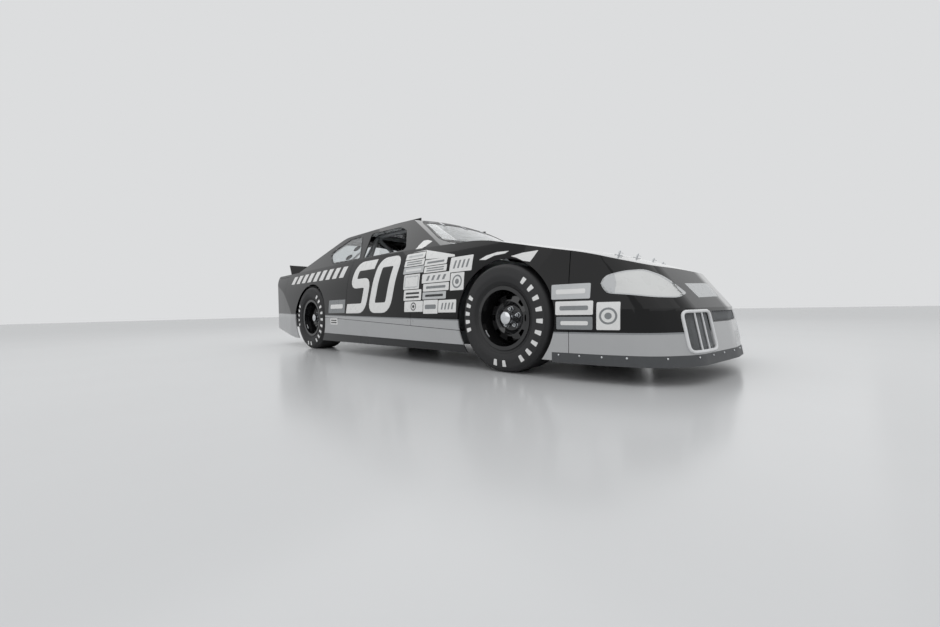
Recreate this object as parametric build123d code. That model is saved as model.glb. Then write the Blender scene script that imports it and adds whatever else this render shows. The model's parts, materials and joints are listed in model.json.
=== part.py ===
from build123d import *
from math import asin, cos, degrees, radians, sin
import os

os.makedirs("parts", exist_ok=True)

# A full-size oval-track stock car, in millimetres. X points forward, Y to the car's left, Z up.
# The origin is on the ground under the middle of the body. In the tables x is counted from the
# front axle, forward, and rear is the rear axle's place on that scale.

# Driving dimensions of the whole car
wheelbase = 2794
track = 1537
nose_reach = 1160          # foot of the air dam ahead of the front axle
tail_reach = 1110          # tail behind the rear axle
body_half_width = 921
skirt_bottom = 110         # lower edge of the side skirts
fascia_bottom = 157        # lower edge of the nose skin, where the air dam takes over
dam_bottom = 98            # lower edge of the air dam
tail_bottom = 235          # lower edge of the bumper cover at the tail
wall = 10                  # body panel with its stiffening edge
seam = 4                   # gap between fixed panels
lid_gap = 6                # gap round the hood and the deck lid
seat_gap = 0.3             # air between a panel and the flange behind it
flange = 8                 # thickness of the flange behind the seams
flange_reach = 24          # how far the flange runs past a seam
sheet = 4                  # floor, firewall and bulkhead sheet

# Wheels, tyres and brakes
tyre_radius = 353.5
rim_radius = 190.5         # 15 in bead seat
rim_lip_radius = 209
hub_bore_radius = 40
arch_radius = 388
kingpin_inboard = 60       # kingpin axis inboard of the wheel's middle plane
rotor_radius = 150
rotor_thick = 24

# Nose: its face leans back a little, and more above the bend
face_lean = 0.19           # back for each millimetre up
slope_lean = 0.72
bend_z = 400

# Crowns: a side outline is turned about a line this far below the ground
body_crown = 8000
roof_crown = 3000

rear = -wheelbase
tail = rear - tail_reach
front_axle_x = (wheelbase + nose_reach + tail_reach) / 2 - nose_reach
rear_axle_x = front_axle_x + rear
past = 300                 # how far cutting blocks run past the body
belt_z = 900               # the cabin opening and the greenhouse are cut at this height

# Seams, from the front axle
front_seam = 470           # nose skin to fender
hood_front, hood_rear = nose_reach - 520, -470
hood_front_half, hood_rear_half = 560, 640
cowl_rear = -760
door_front, door_rear = -930, rear + 819
shelf_front, deck_front, deck_rear = rear - 456, rear - 706, tail + 40
deck_half = 730
bumper_seam, bumper_top = rear - 766, 880
band_front, band_front_z = -417, 268
band_rear, band_rear_z = rear + 311, 364

# Side outline of the lower body on its middle line: x, height, corner radius
side_rows = [
    (nose_reach + 40, -past, 0),
    (nose_reach + 40, 527, 0),
    (560, 762, 1500),
    (-230, 946, 1500),
    (-1050, 972, 3000),
    (rear + 894, 972, 3000),
    (tail, 949, 30),
    (tail, 560, 200),
    (tail + 80, -past, 0),
]

# Plan outline of the nose at the foot of the air dam, one half: x, half width, corner radius
nose_rows = [
    (nose_reach, 100, 500),
    (nose_reach - 87, body_half_width - 301, 300),
    (nose_reach - 249, body_half_width - 103, 300),
    (nose_reach - 509, body_half_width - 41, 800),
    (nose_reach - 949, body_half_width + 4, 3000),
    (tail - 2 * past, body_half_width + 4, 0),
]

# Plan outline of the tail, one half: x, half width, corner radius
tail_rows = [
    (nose_reach + past, body_half_width + 8, 0),
    (rear - 406, body_half_width + 8, 1000),
    (tail - 12, body_half_width - 61, 80),
]

# Cross section, one half: half width, height, corner radius
section_rows = [
    (body_half_width - 16, -100, 0),
    (body_half_width, 400, 1200),
    (body_half_width - 39, 760, 900),
    (body_half_width - 181, 1090, 0),
]

# Side outline of the greenhouse on its middle line: x, height, corner radius
roof_rows = [
    (-330, 820, 0),
    (-1270, 1310, 150),
    (-1700, 1320, 1900),
    (rear + 274, 1314, 500),
    (rear - 1036, 815, 0),
]

# Cross section of the greenhouse, one half: half width, height
roof_section_rows = [(body_half_width - 24, 760), (body_half_width - 376, 1330)]

# Window outlines, front and rear: y, height, corner radius; at the sides: x, height, corner radius
windshield_rows = [(-700, 960, 40), (700, 960, 40), (515, 1250, 50), (0, 1280, 900), (-515, 1250, 50)]
rear_window_rows = [(-650, 985, 50), (650, 985, 50), (505, 1236, 60), (0, 1262, 900), (-505, 1236, 60)]
door_window_rows = [(-1150, 955, 25), (-1300, 1165, 60), (-1420, 1222, 60), (rear + 844, 1238, 25),
                    (rear + 944, 955, 25)]
quarter_window_rows = [(rear + 880, 955, 20), (rear + 660, 1240, 30), (rear + 420, 1236, 90),
                       (rear + 94, 1106, 60), (rear + 301, 960, 25)]

# Grille openings in the nose: y and z limits, columns and rows of the screen
grille_rows = [(-655, -400, 176, 378, 3, 12), (-345, 345, 322, 380, 9, 3), (400, 655, 176, 378, 3, 12)]
grille_rib = 5


def on_car(rows):
    """Table rows whose x counts from the front axle, as points in the car's frame."""
    return [(front_axle_x + x, other, radius) for x, other, radius in rows]


def outline(plane, rows):
    """Flat face on a plane from rows of two coordinates and a corner radius."""
    points = [(u, v) for u, v, radius in rows]
    return plane * make_face(FilletPolyline(*points, radius=[radius for u, v, radius in rows], close=True))


def both_halves(rows):
    """Rows of one half in plan, with their mirror image."""
    return [(x, -y, radius) for x, y, radius in rows] + [(x, y, radius) for x, y, radius in reversed(rows)]


def shrunk(face, inset):
    """The face with its edge moved inwards, or outwards for a negative inset."""
    return offset(face, amount=-inset, kind=Kind.INTERSECTION) if inset else face


def crowned(face, crown):
    """A side outline turned to both sides about a line far below the ground."""
    sweep_half = degrees(asin((body_half_width + 60) / crown)) + 1
    axis = Axis((0, 0, -crown), (1, 0, 0))
    return revolve(face, axis, revolution_arc=2 * sweep_half).rotate(axis, -sweep_half)


def leaning(face, level, lean):
    """A plan outline at one level as a body that leans back as it goes up and forward below."""
    return Pos(0, 0, level) * extrude(face, 1700, dir=Vector(-lean, 0, 1).normalized(), both=True)


def lower_body(inset):
    """Lower body down to below the skirts: side outline, plan outlines and cross section together."""
    side = crowned(shrunk(outline(Plane.XZ, on_car(side_rows)), inset), body_crown)
    nose = shrunk(outline(Plane.XY, on_car(both_halves(nose_rows))), inset)
    face = leaning(nose, dam_bottom, face_lean)
    slope = leaning(Pos(-face_lean * (bend_z - dam_bottom), 0, 0) * nose, bend_z, slope_lean)
    back = shrunk(outline(Plane.XY, on_car(both_halves(tail_rows))), inset)
    back = extrude(back, 1700, both=True)
    ring = [(-y, z, radius) for y, z, radius in section_rows]
    ring += [(y, z, radius) for y, z, radius in reversed(section_rows)]
    section = extrude(shrunk(outline(Plane.YZ, ring), inset), wheelbase + tail_reach, both=True)
    return section & face & slope & back & side


def greenhouse(inset):
    """Roof, pillars and glass as one block that runs down into the lower body."""
    side = crowned(shrunk(outline(Plane.XZ, on_car(roof_rows)), inset), roof_crown)
    ring = [(-y, z) for y, z in roof_section_rows] + [(y, z) for y, z in reversed(roof_section_rows)]
    section = shrunk(Plane.YZ * make_face(Polyline(*ring, close=True)), inset)
    return extrude(section, wheelbase + tail_reach, both=True) & side


def block(x0, x1, y0, y1, z0, z1):
    """Box from its limits; x is counted from the front axle."""
    box = Box(x1 - x0, y1 - y0, z1 - z0, align=(Align.MIN, Align.MIN, Align.MIN))
    return Pos(front_axle_x + x0, y0, z0) * box


all_x = (tail - past, nose_reach + past)
wide = body_half_width + past
all_y = (-wide, wide)
all_z = (-past, 1500)


def plate(points, z0, z1):
    """Upright prism over a plan outline; x is counted from the front axle."""
    face = make_face(Polyline(*[(front_axle_x + x, y) for x, y in points], close=True))
    return Pos(0, 0, z0) * extrude(face, z1 - z0)


def side_prism(rows, y0, y1, grow=0.0):
    """Prism across the car over an outline seen from the side."""
    return Pos(0, y1, 0) * extrude(shrunk(outline(Plane.XZ, on_car(rows)), -grow), y1 - y0)


def end_prism(rows, x0, x1, grow=0.0):
    """Prism along the car over an outline seen from the front."""
    return Pos(front_axle_x + x0, 0, 0) * extrude(shrunk(outline(Plane.YZ, rows), -grow), x1 - x0)


def cross_cylinder(x, z, radius, y0, y1):
    """Cylinder along Y; x is counted from the front axle."""
    body = Cylinder(radius, y1 - y0, align=(Align.CENTER, Align.CENTER, Align.MIN))
    return Pos(front_axle_x + x, y0, z) * Rot(-90, 0, 0) * body


def tube(points, radius, bend=0):
    """Round bar along points, x counted from the front axle, with bends of one radius."""
    path = [(front_axle_x + x, y, z) for x, y, z in points]
    line = Polyline(*path) if len(path) == 2 else FilletPolyline(*path, radius=bend)
    start = Plane(origin=line @ 0, z_dir=line % 0)
    return sweep(start * Circle(radius), path=line)


def mirrored(part):
    """The part with its mirror image on the car's other side."""
    return part + mirror(part, about=Plane.XZ)


def save(name, part):
    solids = part.solids()
    whole = solids[0] if len(solids) == 1 else Compound(children=list(solids))
    export_step(whole, f"parts/{name}.step")


# Body skin, the layer of flanges behind it, and the cuts that all panels share
outer = lower_body(0)
inner = lower_body(wall + seat_gap)
skin = outer - lower_body(wall)
layer = inner - lower_body(wall + seat_gap + flange)
roof_block = greenhouse(0)
cabin = greenhouse(wall)
cabin_opening = cabin & block(*all_x, *all_y, belt_z, all_z[1])
arch_inner = track / 2 - 268       # inner edge of the cut-out that a wheel stands in
arches = mirrored(
    cross_cylinder(0, tyre_radius, arch_radius, arch_inner, wide)
    + cross_cylinder(rear, tyre_radius, arch_radius, arch_inner, wide)
)
fascia_start = arch_radius - 20    # the fascia's low edge starts inside the arch
half_seam = seam / 2
half_lid_gap = lid_gap / 2


def sloped(x0, x1, rise0, rise1):
    """Zone between two lines that run parallel to the silver band's upper edge."""
    slope = (band_rear_z - band_front_z) / (band_rear - band_front)
    low = [(x, band_front_z + slope * (x - band_front) + rise0, 0) for x in (x0, x1)]
    high = [(x, band_front_z + slope * (x - band_front) + rise1, 0) for x in (x1, x0)]
    face = make_face(Polyline(*[(x, z) for x, z, r in on_car(low + high)], close=True))
    return extrude(Plane.XZ * face, wide, both=True)


def trimmed(part):
    """A layer of the body with its lower edge, arches and cabin opening cut."""
    under = block(*all_x, *all_y, -2 * past, skirt_bottom)
    nose_under = block(fascia_start, all_x[1], *all_y, -2 * past, fascia_bottom)
    slope = [(rear - 396, -2 * past), (rear - 396, skirt_bottom), (tail - 50, tail_bottom), (tail - 50, -2 * past)]
    slope_face = make_face(Polyline(*[(front_axle_x + x, z) for x, z in slope], close=True))
    return part - under - nose_under - extrude(Plane.XZ * slope_face, wide, both=True) - arches - cabin_opening


skin = trimmed(skin)
layer = trimmed(layer)


def hood_plan(grow):
    """Hood outline in plan, grown or shrunk by a gap."""
    front, back = hood_front + grow, hood_rear - grow
    points = [(front, -hood_front_half - grow), (front, hood_front_half + grow),
              (back, hood_rear_half + grow), (back, -hood_rear_half - grow)]
    return plate(points, bend_z, all_z[1])


def deck_plan(grow):
    """Deck lid outline in plan, grown or shrunk by a gap."""
    return block(deck_rear - grow, deck_front + grow, -deck_half - grow, deck_half + grow, 700, all_z[1])


fixed = skin - hood_plan(half_lid_gap) - deck_plan(half_lid_gap)
cowl_zone = block(cowl_rear, hood_rear, -hood_rear_half, hood_rear_half, 700, all_z[1])
shelf_zone = block(deck_front, shelf_front, -deck_half, deck_half, 700, all_z[1])
inside_cowl = block(*all_x, half_seam - hood_rear_half, hood_rear_half - half_seam, *all_z)
inside_shelf = block(*all_x, half_seam - deck_half, deck_half - half_seam, *all_z)
grille_holes = [block(fascia_start, all_x[1], y0, y1, z0, z1) for y0, y1, z0, z1, columns, rows in grille_rows]


def band(x0, x1, y0=-wide, y1=wide, z0=all_z[0], z1=all_z[1]):
    """Zone between two seams, half a seam short at each."""
    return block(x0 + half_seam, x1 - half_seam, y0, y1, z0, z1)


fascia = fixed & band(front_seam, all_x[1])
for hole in grille_holes:
    fascia = fascia - hole
panels = {
    "nose_fascia": fascia,
    "cowl_panel": fixed & cowl_zone & inside_cowl,
    "rear_shelf": fixed & shelf_zone & inside_shelf,
    "hood": skin & hood_plan(-half_lid_gap),
    "deck_lid": skin & deck_plan(-half_lid_gap),
    "bumper_cover": fixed & band(all_x[0], bumper_seam) & block(*all_x, *all_y, all_z[0], bumper_top),
}
side_zone = fixed - cowl_zone - shelf_zone
rocker_front, rocker_back = arch_radius / -2, rear + arch_radius / 2
for side, sign in (("right", -1), ("left", 1)):
    half = (min(sign * half_seam, sign * wide), max(sign * half_seam, sign * wide))
    under_band = sloped(rocker_front, rocker_back, -2 * past, -half_seam)
    above_band = side_zone - sloped(rocker_front, rocker_back, -2 * past, half_seam)
    panels[f"rocker_panel_{side}"] = side_zone & under_band & block(*all_x, *half, *all_z)
    panels[f"front_fender_{side}"] = above_band & band(door_front, front_seam, *half)
    panels[f"door_panel_{side}"] = above_band & band(door_rear, door_front, *half)
    quarter = above_band & band(all_x[0], door_rear, *half)
    panels[f"quarter_panel_{side}"] = quarter - block(all_x[0], bumper_seam, *all_y, all_z[0], bumper_top + seam)


# Flanges behind the seams: they carry the panels and are the ledge that hood and deck lid lie on
def seam_zone(x, z0=all_z[0], z1=all_z[1]):
    """Zone of flange to both sides of a cross seam."""
    return block(x - flange_reach, x + flange_reach, *all_y, z0, z1)


ledges = (hood_plan(flange_reach) - hood_plan(-flange_reach)) + (deck_plan(flange_reach) - deck_plan(-flange_reach))
flange_zones = [
    ledges, sloped(rocker_front, rocker_back, -flange_reach, flange_reach),
    seam_zone(front_seam), seam_zone(door_front, z0=band_front_z), seam_zone(door_rear, z0=band_front_z),
    seam_zone(bumper_seam, z1=bumper_top + flange_reach),
    block(all_x[0], bumper_seam, *all_y, bumper_top - flange_reach, bumper_top + flange_reach),
]
panels["seam_flanges"] = Part() + [layer & zone for zone in flange_zones]

# Screens behind the nose openings: a sheet that follows the nose, with slots in columns and rows
screen_thick, screen_lap = 4, 14
slot_web = 5
screen_layer = inner - lower_body(wall + seat_gap + screen_thick)
screens = Part()
for y0, y1, z0, z1, columns, rows in grille_rows:
    lapped = (fascia_start, all_x[1], y0 - screen_lap, y1 + screen_lap, z0 - screen_lap, z1 + screen_lap)
    screen = screen_layer & block(*lapped)
    step_y, step_z = (y1 - y0) / columns, (z1 - z0) / rows
    for i in range(columns):
        for j in range(rows):
            low_y, low_z = y0 + i * step_y + grille_rib, z0 + j * step_z + slot_web / 2
            slot = (low_y, low_y + step_y - 2 * grille_rib, low_z, low_z + step_z - slot_web)
            screen = screen - block(fascia_start, all_x[1], *slot)
    screens = screens + screen
panels["grille_screen"] = screens

# Air dam under the nose skin
dam_wall = 12
dam_ring = outer - lower_body(dam_wall)
panels["air_dam"] = dam_ring & block(fascia_start, all_x[1], *all_y, dam_bottom, fascia_bottom)

# Greenhouse with its window openings, roof rails and glass
pane = 5
pane_gap = 0.3
pane_depth = 3
roof_rail_y, roof_rail_high, roof_rail_thick = 480, 25, 5
roof_rail_front, roof_rail_rear = -1290, rear + 600
above_belt = roof_block & block(*all_x, *all_y, belt_z, all_z[1])
shell = above_belt - cabin - outer
windshield_hole = end_prism(windshield_rows, -1600, -500)
rear_window_hole = end_prism(rear_window_rows, rear - 800, rear + 500)
side_holes = side_prism(door_window_rows, *all_y) + side_prism(quarter_window_rows, *all_y)
shell = shell - windshield_hole - rear_window_hole - side_holes
rail_zone = block(roof_rail_rear, roof_rail_front, roof_rail_y - roof_rail_thick, roof_rail_y, 1100, all_z[1])
roof_rails = (greenhouse(-roof_rail_high) - greenhouse(wall / 2)) & mirrored(rail_zone)
panels["roof_and_pillars"] = shell + roof_rails
glass_layer = (greenhouse(pane_depth) & above_belt) - greenhouse(pane_depth + pane) - outer
panels["windshield"] = glass_layer & end_prism(windshield_rows, -1600, -500, grow=-pane_gap)
panels["rear_window"] = glass_layer & end_prism(rear_window_rows, rear - 800, rear + 500, grow=-pane_gap)
quarter_glass = glass_layer & side_prism(quarter_window_rows, arch_inner / 2, wide, grow=-pane_gap)
panels["quarter_window_left"] = quarter_glass
panels["quarter_window_right"] = mirror(quarter_glass, about=Plane.XZ)

# Rear spoiler: a flat blade that stands on the deck lid
spoiler_width, spoiler_chord, spoiler_thick = 1448, 160, 6
spoiler_foot, spoiler_foot_z = tail + 165, 921
spoiler_lean = 23          # from upright, towards the tail
spoiler_root = 40          # part of the blade's box that the deck cuts away
blade = Box(spoiler_thick, spoiler_width, spoiler_chord + spoiler_root, align=(Align.MAX, Align.CENTER, Align.MIN))
blade = Rot(0, -spoiler_lean, 0) * Pos(0, 0, -spoiler_root) * blade
panels["spoiler"] = Pos(front_axle_x + spoiler_foot, 0, spoiler_foot_z) * blade - outer

# Chassis: main rails, front and rear clips, cross members, spring towers
rail_y, rail_width, rail_height, rail_z = body_half_width - 281, 60, 80, 200
clip_y, clip_z = 400, 215
rail_front, rail_tail = nose_reach - 410, tail + 70
kick_y, kick_z, tail_rail_z = 440, 500, 330
rail_route = [
    (rail_front, clip_y, clip_z), (-420, clip_y, clip_z), (-640, rail_y, rail_z), (rear + 504, rail_y, rail_z),
    (rear + 354, kick_y, 250), (rear + 234, kick_y, kick_z), (rear - 256, kick_y, kick_z),
    (rear - 436, kick_y, tail_rail_z), (rail_tail, kick_y, tail_rail_z),
]
rail_path = Polyline(*[(front_axle_x + x, y, z) for x, y, z in rail_route])
rail_start = Plane(origin=rail_path @ 0, x_dir=(0, 1, 0), z_dir=rail_path % 0)
rails = mirrored(sweep(rail_start * Rectangle(rail_width, rail_height), path=rail_path, transition=Transition.RIGHT))
cross_half = 30
radiator_x = rail_front - 40
cross_members = [(-170, clip_y, clip_z), (radiator_x, clip_y, clip_z), (-1100, rail_y, rail_z),
                 (rear + 994, rail_y, rail_z), (tail + 204, kick_y, tail_rail_z)]
for x, y, z in cross_members:
    rails = rails + block(x - cross_half, x + cross_half, -y, y, z - cross_half, z + cross_half)
clip_in, clip_out = clip_y - rail_width / 2, clip_y + rail_width / 2
tower_top = 500
panels["frame_rails"] = rails + mirrored(block(-45, 45, clip_in, clip_out, clip_z, tower_top))

# Floor, firewall, tunnel and rear bulkhead in sheet, laid between the rails
floor_z = rail_z + rail_height / 2
firewall_x, bulkhead_x = -690, rear + 534
tunnel_half, tunnel_top = 165, 470
sheet_top = 880
tub_half = rail_y - rail_width / 2 - seat_gap


def tunnel(radius):
    """Round-topped tunnel over the gearbox and shaft, as a solid that runs past both ends."""
    crown_z = tunnel_top - tunnel_half
    length = firewall_x - bulkhead_x + 2 * past
    sides = block(bulkhead_x - past, firewall_x + past, -radius, radius, floor_z - past, crown_z)
    middle = Pos(front_axle_x + (firewall_x + bulkhead_x) / 2, 0, crown_z)
    return sides + middle * Rot(0, 90, 0) * Cylinder(radius, length)


inside_tub = (bulkhead_x + sheet + seat_gap, firewall_x - sheet - seat_gap)
end_sheets = block(firewall_x - sheet, firewall_x, -tub_half, tub_half, floor_z, sheet_top)
end_sheets = end_sheets + block(bulkhead_x, bulkhead_x + sheet, -tub_half, tub_half, floor_z, sheet_top)
tunnel_skin = (tunnel(tunnel_half) - tunnel(tunnel_half - sheet)) & block(*inside_tub, *all_y, floor_z, sheet_top)
side_sheets = mirrored(block(*inside_tub, tunnel_half + seat_gap, tub_half, floor_z, floor_z + sheet))
panels["floor_tub"] = (end_sheets - tunnel(tunnel_half - sheet)) + tunnel_skin + side_sheets
wing_in = rail_y + rail_width / 2 + seat_gap
wings = mirrored(block(bulkhead_x + 30, firewall_x - 10, wing_in, wide, floor_z - sheet, floor_z))
panels["side_floor"] = wings & inner

# Roll cage in round tube
cage_radius = 22.2
cage_bend = 120
hoop_x, cage_z, cage_y = rear + 784, 1232, 500
leg_z = floor_z + 1.2
halo_x, halo_y, halo_z = -1330, 470, 1215
brace_x, brace_z = -1015, 890
bar_y = 800                # door bars, out beside the driver
hoop = tube([(hoop_x, -rail_y, leg_z), (hoop_x, -rail_y, 860), (hoop_x, -cage_y, cage_z), (hoop_x, cage_y, cage_z),
             (hoop_x, rail_y, 860), (hoop_x, rail_y, leg_z)], cage_radius, cage_bend)
halo = [(hoop_x, cage_y - 20, cage_z - 4), (halo_x, halo_y, halo_z), (brace_x, rail_y - 15, brace_z),
        (brace_x + 30, rail_y, leg_z)]
cage = hoop + mirrored(tube(halo, cage_radius, cage_bend))
cage = cage + tube([(halo_x, -halo_y, halo_z), (halo_x, halo_y, halo_z)], cage_radius)
dash_bar_z = 730
cage = cage + tube([(brace_x + 11, 8 - rail_y, dash_bar_z), (brace_x + 11, rail_y - 8, dash_bar_z)], cage_radius)
for bar_z in (335, 480, 625):
    route = [(brace_x + 21, rail_y - 3, bar_z), (brace_x - 165, bar_y, bar_z), (hoop_x + 200, bar_y, bar_z),
             (hoop_x + 7, rail_y - 3, bar_z)]
    cage = cage + mirrored(tube(route, cage_radius, 90))
cage = cage + mirrored(tube([(hoop_x, cage_y - 30, cage_z), (rear - 106, kick_y, kick_z + 70)], cage_radius))
cage = cage + tube([(hoop_x, rail_y - 4, 420), (hoop_x, -cage_y + 6, cage_z - 25)], cage_radius - 3)
panels["roll_cage"] = cage

# Driver's place on the left: seat, dashboard, steering wheel
driver_y = rail_y - 255
dash_x, dash_z0, dash_z1, dash_thick = -1120, 760, 905, 6
column_lean, column_length, column_radius = 16, 400, 16
column_foot = Vector(front_axle_x + dash_x + 120, driver_y, 790)
column_axis = Vector(-cos(radians(column_lean)), 0, sin(radians(column_lean)))
column_plane = Plane(origin=column_foot, x_dir=(0, 1, 0), z_dir=column_axis)
column_bore = column_plane * Cylinder(column_radius + 0.05, 2 * column_length)
dash = block(dash_x - dash_thick, dash_x, 50 - rail_y, rail_y - 50, dash_z0, dash_z1)
dash_tube = column_plane * (Pos(0, 0, 90) * Cylinder(column_radius + 8, 90))
dash_arm_y = rail_y - 140
dash_arm = block(dash_x - 3, dash_x + 120, dash_arm_y, dash_arm_y + 20, dash_bar_z + cage_radius + seat_gap, dash_z0 + 15)
panels["dashboard"] = dash + mirrored(dash_arm) + dash_tube - column_bore
grip_radius, grip_thick = 178, 14
steering = Cylinder(column_radius, column_length - 20, align=(Align.CENTER, Align.CENTER, Align.MIN))
steering = steering + Pos(0, 0, column_length) * Torus(grip_radius, grip_thick)
steering = steering + Pos(0, 0, column_length - 20) * Cylinder(32, 30)
for angle in (0, 120, 240):
    spoke = Box(grip_radius - 2, 26, 5)
    steering = steering + Rot(0, 0, angle) * Pos(grip_radius / 2, 0, column_length - 12) * spoke
panels["steering_wheel"] = column_plane * steering

seat_x = hoop_x + 35       # back of the seat, just ahead of the hoop
seat_half, seat_side = 210, 30
seat_rows = [(seat_x + 475, 290, 0), (seat_x + 25, 262, 0), (seat_x, 700, 0), (seat_x + 35, 700, 0),
             (seat_x + 70, 310, 0), (seat_x + 480, 330, 0)]
bolster_rows = [(seat_x + 475, 290, 0), (seat_x + 25, 262, 0), (seat_x, 700, 0), (seat_x + 155, 620, 60),
                (seat_x + 215, 420, 80), (seat_x + 480, 400, 30)]
head_rows = [(seat_x + 4, 680, 0), (seat_x + 10, 890, 12), (seat_x + 50, 890, 12), (seat_x + 31, 680, 0)]
seat_low, seat_high = driver_y - seat_half, driver_y + seat_half
seat = side_prism(seat_rows, seat_low, seat_high)
for y in (seat_low, seat_high - seat_side):
    seat = seat + side_prism(bolster_rows, y, y + seat_side)
head_half = 130
seat = seat + side_prism(head_rows, driver_y - head_half, driver_y + head_half)
foot = 40
for x in (seat_x + 75, seat_x + 415):
    for y in (seat_low + 60, seat_high - 60 - foot):
        seat = seat + block(x, x + foot, y, y + foot, floor_z + sheet + seat_gap, 300)
panels["driver_seat"] = seat

# Engine as one plain block, gearbox and shaft, radiator, fuel cell, exhaust
engine_front, engine_back, engine_half = -30, -610, 230
engine = block(engine_back, engine_front, -engine_half, engine_half, 250, 640)
engine = engine + mirrored(block(engine_back + 50, engine_front - 50, 90, 300, 420, 660))
mount = block(-330, -250, engine_half - 30, clip_in - seat_gap, clip_z + 40, clip_z + 70)
panels["engine_block"] = engine + mirrored(mount)
box_length, shaft_radius = 420, 40
gearbox = Cone(120, 75, box_length, align=(Align.CENTER, Align.CENTER, Align.MIN))
gearbox = Pos(front_axle_x + engine_back - 30, 0, 345) * Rot(0, -90, 0) * gearbox
bell = block(engine_back - 30, engine_back, -110, 110, 240, 450)
shaft = tube([(engine_back - box_length - 20, 0, 345), (rear + 144, 0, tyre_radius)], shaft_radius)
panels["driveline"] = gearbox + bell + shaft
panels["radiator"] = block(radiator_x - cross_half, radiator_x + cross_half, -330, 330,
                           clip_z + cross_half + seat_gap, 560)
cell_front, cell_half = rear - 326, 330
cell = block(cell_front - 420, cell_front, -cell_half, cell_half, 290, 560)
cell_ear = block(cell_front - 400, cell_front - 360, cell_half - 5, kick_y - rail_width / 2 - 6,
                 tail_rail_z, tail_rail_z + 30)
panels["fuel_cell"] = cell + mirrored(cell_ear)
pipe_y, pipe_z, pipe_radius = 470, 128, 24
pipe = tube([(-500, 254.5, 330), (-700, 300, pipe_z + 2), (-900, pipe_y, pipe_z), (rear + 514, pipe_y, pipe_z)],
            pipe_radius, 60)
panels["exhaust_pipes"] = mirrored(pipe)

# Front suspension: wishbones that reach from the clip to the kingpin
wheel_y = track / 2
king_y = wheel_y - kingpin_inboard
low_z, high_z = 226, 478
arm_rows = [(low_z, clip_z, -170, 150, 14, 30, 36), (high_z, high_z - 8, -40, 40, 12, 26, 30)]
wishbones = []
for ball_z, root_z, root_back, root_front, arm_radius, eye_radius, eye_high in arm_rows:
    arm = Pos(front_axle_x, king_y, ball_z) * Cylinder(eye_radius, eye_high)
    for root in (root_back, root_front):
        arm = arm + tube([(root, clip_out, root_z), (0, king_y, ball_z)], arm_radius)
    wishbones.append(mirrored(arm & block(-past, past, clip_out, king_y + past, 0, all_z[1])))
panels["wishbones"] = wishbones[0] + wishbones[1]

# Wheel corner pieces, built for a wheel at the origin whose outer side faces +Y
hub_fit = 0.05
pad_y, pad_thick = 25, 8   # the wheel's hub pad: outer face and thickness
nose_tip = 95
hub_flange_radius, hub_flange_thick = 72, 14
rotor_back = -30           # inner face of the brake rotor
caliper_wall, rotor_gap = 8, 5


def on_y(part, y):
    """Part along Z turned to point along +Y, its origin at y."""
    return Pos(0, y, 0) * Rot(-90, 0, 0) * part


def turned(rows):
    """Body of revolution about Y from rows of distance along Y and radius."""
    return revolve(make_face(Polyline(*[(radius, y) for y, radius in rows], close=True)), Axis.Y)


up = (Align.CENTER, Align.CENTER, Align.MIN)
down = (Align.CENTER, Align.CENTER, Align.MAX)
pad_back = pad_y - pad_thick
hub = on_y(Cylinder(hub_bore_radius - hub_fit, nose_tip - pad_back + 10, align=up), pad_back - 10)
hub = hub + on_y(Cylinder(hub_flange_radius, hub_flange_thick, align=down), pad_back - seat_gap)
hub = hub + on_y(Cylinder(38, pad_back + kingpin_inboard, align=down), pad_back - seat_gap)
low_post, high_post = low_z + arm_rows[0][6] / 2 + seat_gap, high_z - arm_rows[1][6] / 2 - seat_gap
post_radius = 24
post = Cylinder(post_radius, high_post - low_post, align=up)
upright = Pos(0, -kingpin_inboard, low_post - tyre_radius) * post
steer_arm = Pos(-70, -kingpin_inboard, -60) * Box(140, post_radius, 22)

# Brake caliper: a bridge over the rotor's rear edge
caliper_half = rotor_thick / 2 + rotor_gap + caliper_wall
caliper_y = rotor_back + rotor_thick / 2
caliper_in, caliper_out = rotor_radius - 45, rotor_radius + rotor_gap + caliper_wall
caliper = turned([(caliper_y - caliper_half, caliper_in), (caliper_y + caliper_half, caliper_in),
                  (caliper_y + caliper_half, caliper_out), (caliper_y - caliper_half, caliper_out)])
slot_half = rotor_thick / 2 + rotor_gap
caliper = caliper - turned([(caliper_y - slot_half, 0), (caliper_y + slot_half, 0),
                            (caliper_y + slot_half, rotor_radius + rotor_gap), (caliper_y - slot_half, rotor_radius + rotor_gap)])
caliper = caliper & Pos(-caliper_out, 0, 0) * Box(2 * caliper_out, 4 * caliper_half, 130)
bracket = Box(caliper_in + 12, caliper_wall, 60, align=(Align.MAX, Align.MIN, Align.CENTER))
bracket = Pos(0, caliper_y - caliper_half, 0) * bracket
carrier = caliper + bracket
knuckle = Pos(front_axle_x, wheel_y, tyre_radius) * (hub + upright + steer_arm + carrier)
panels["knuckle_left"] = knuckle
panels["knuckle_right"] = mirror(knuckle, about=Plane.XZ)

# Rear axle with its truck arms
axle_end, axle_radius = wheel_y - 50, 42
axle_tube = cross_cylinder(rear, tyre_radius, axle_radius, -axle_end, axle_end)
banjo = cross_cylinder(rear, tyre_radius, 150, -110, 110)
rear_hub = Pos(rear_axle_x, wheel_y, tyre_radius) * (hub + carrier)
truck_arm = tube([(rear + 1234, 150, 150), (rear + 344, 330, 150), (rear, kick_y - 10, tyre_radius)], 18, 60)
panels["rear_axle"] = axle_tube + (banjo - shaft) + mirrored(rear_hub) + mirrored(truck_arm)

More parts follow.
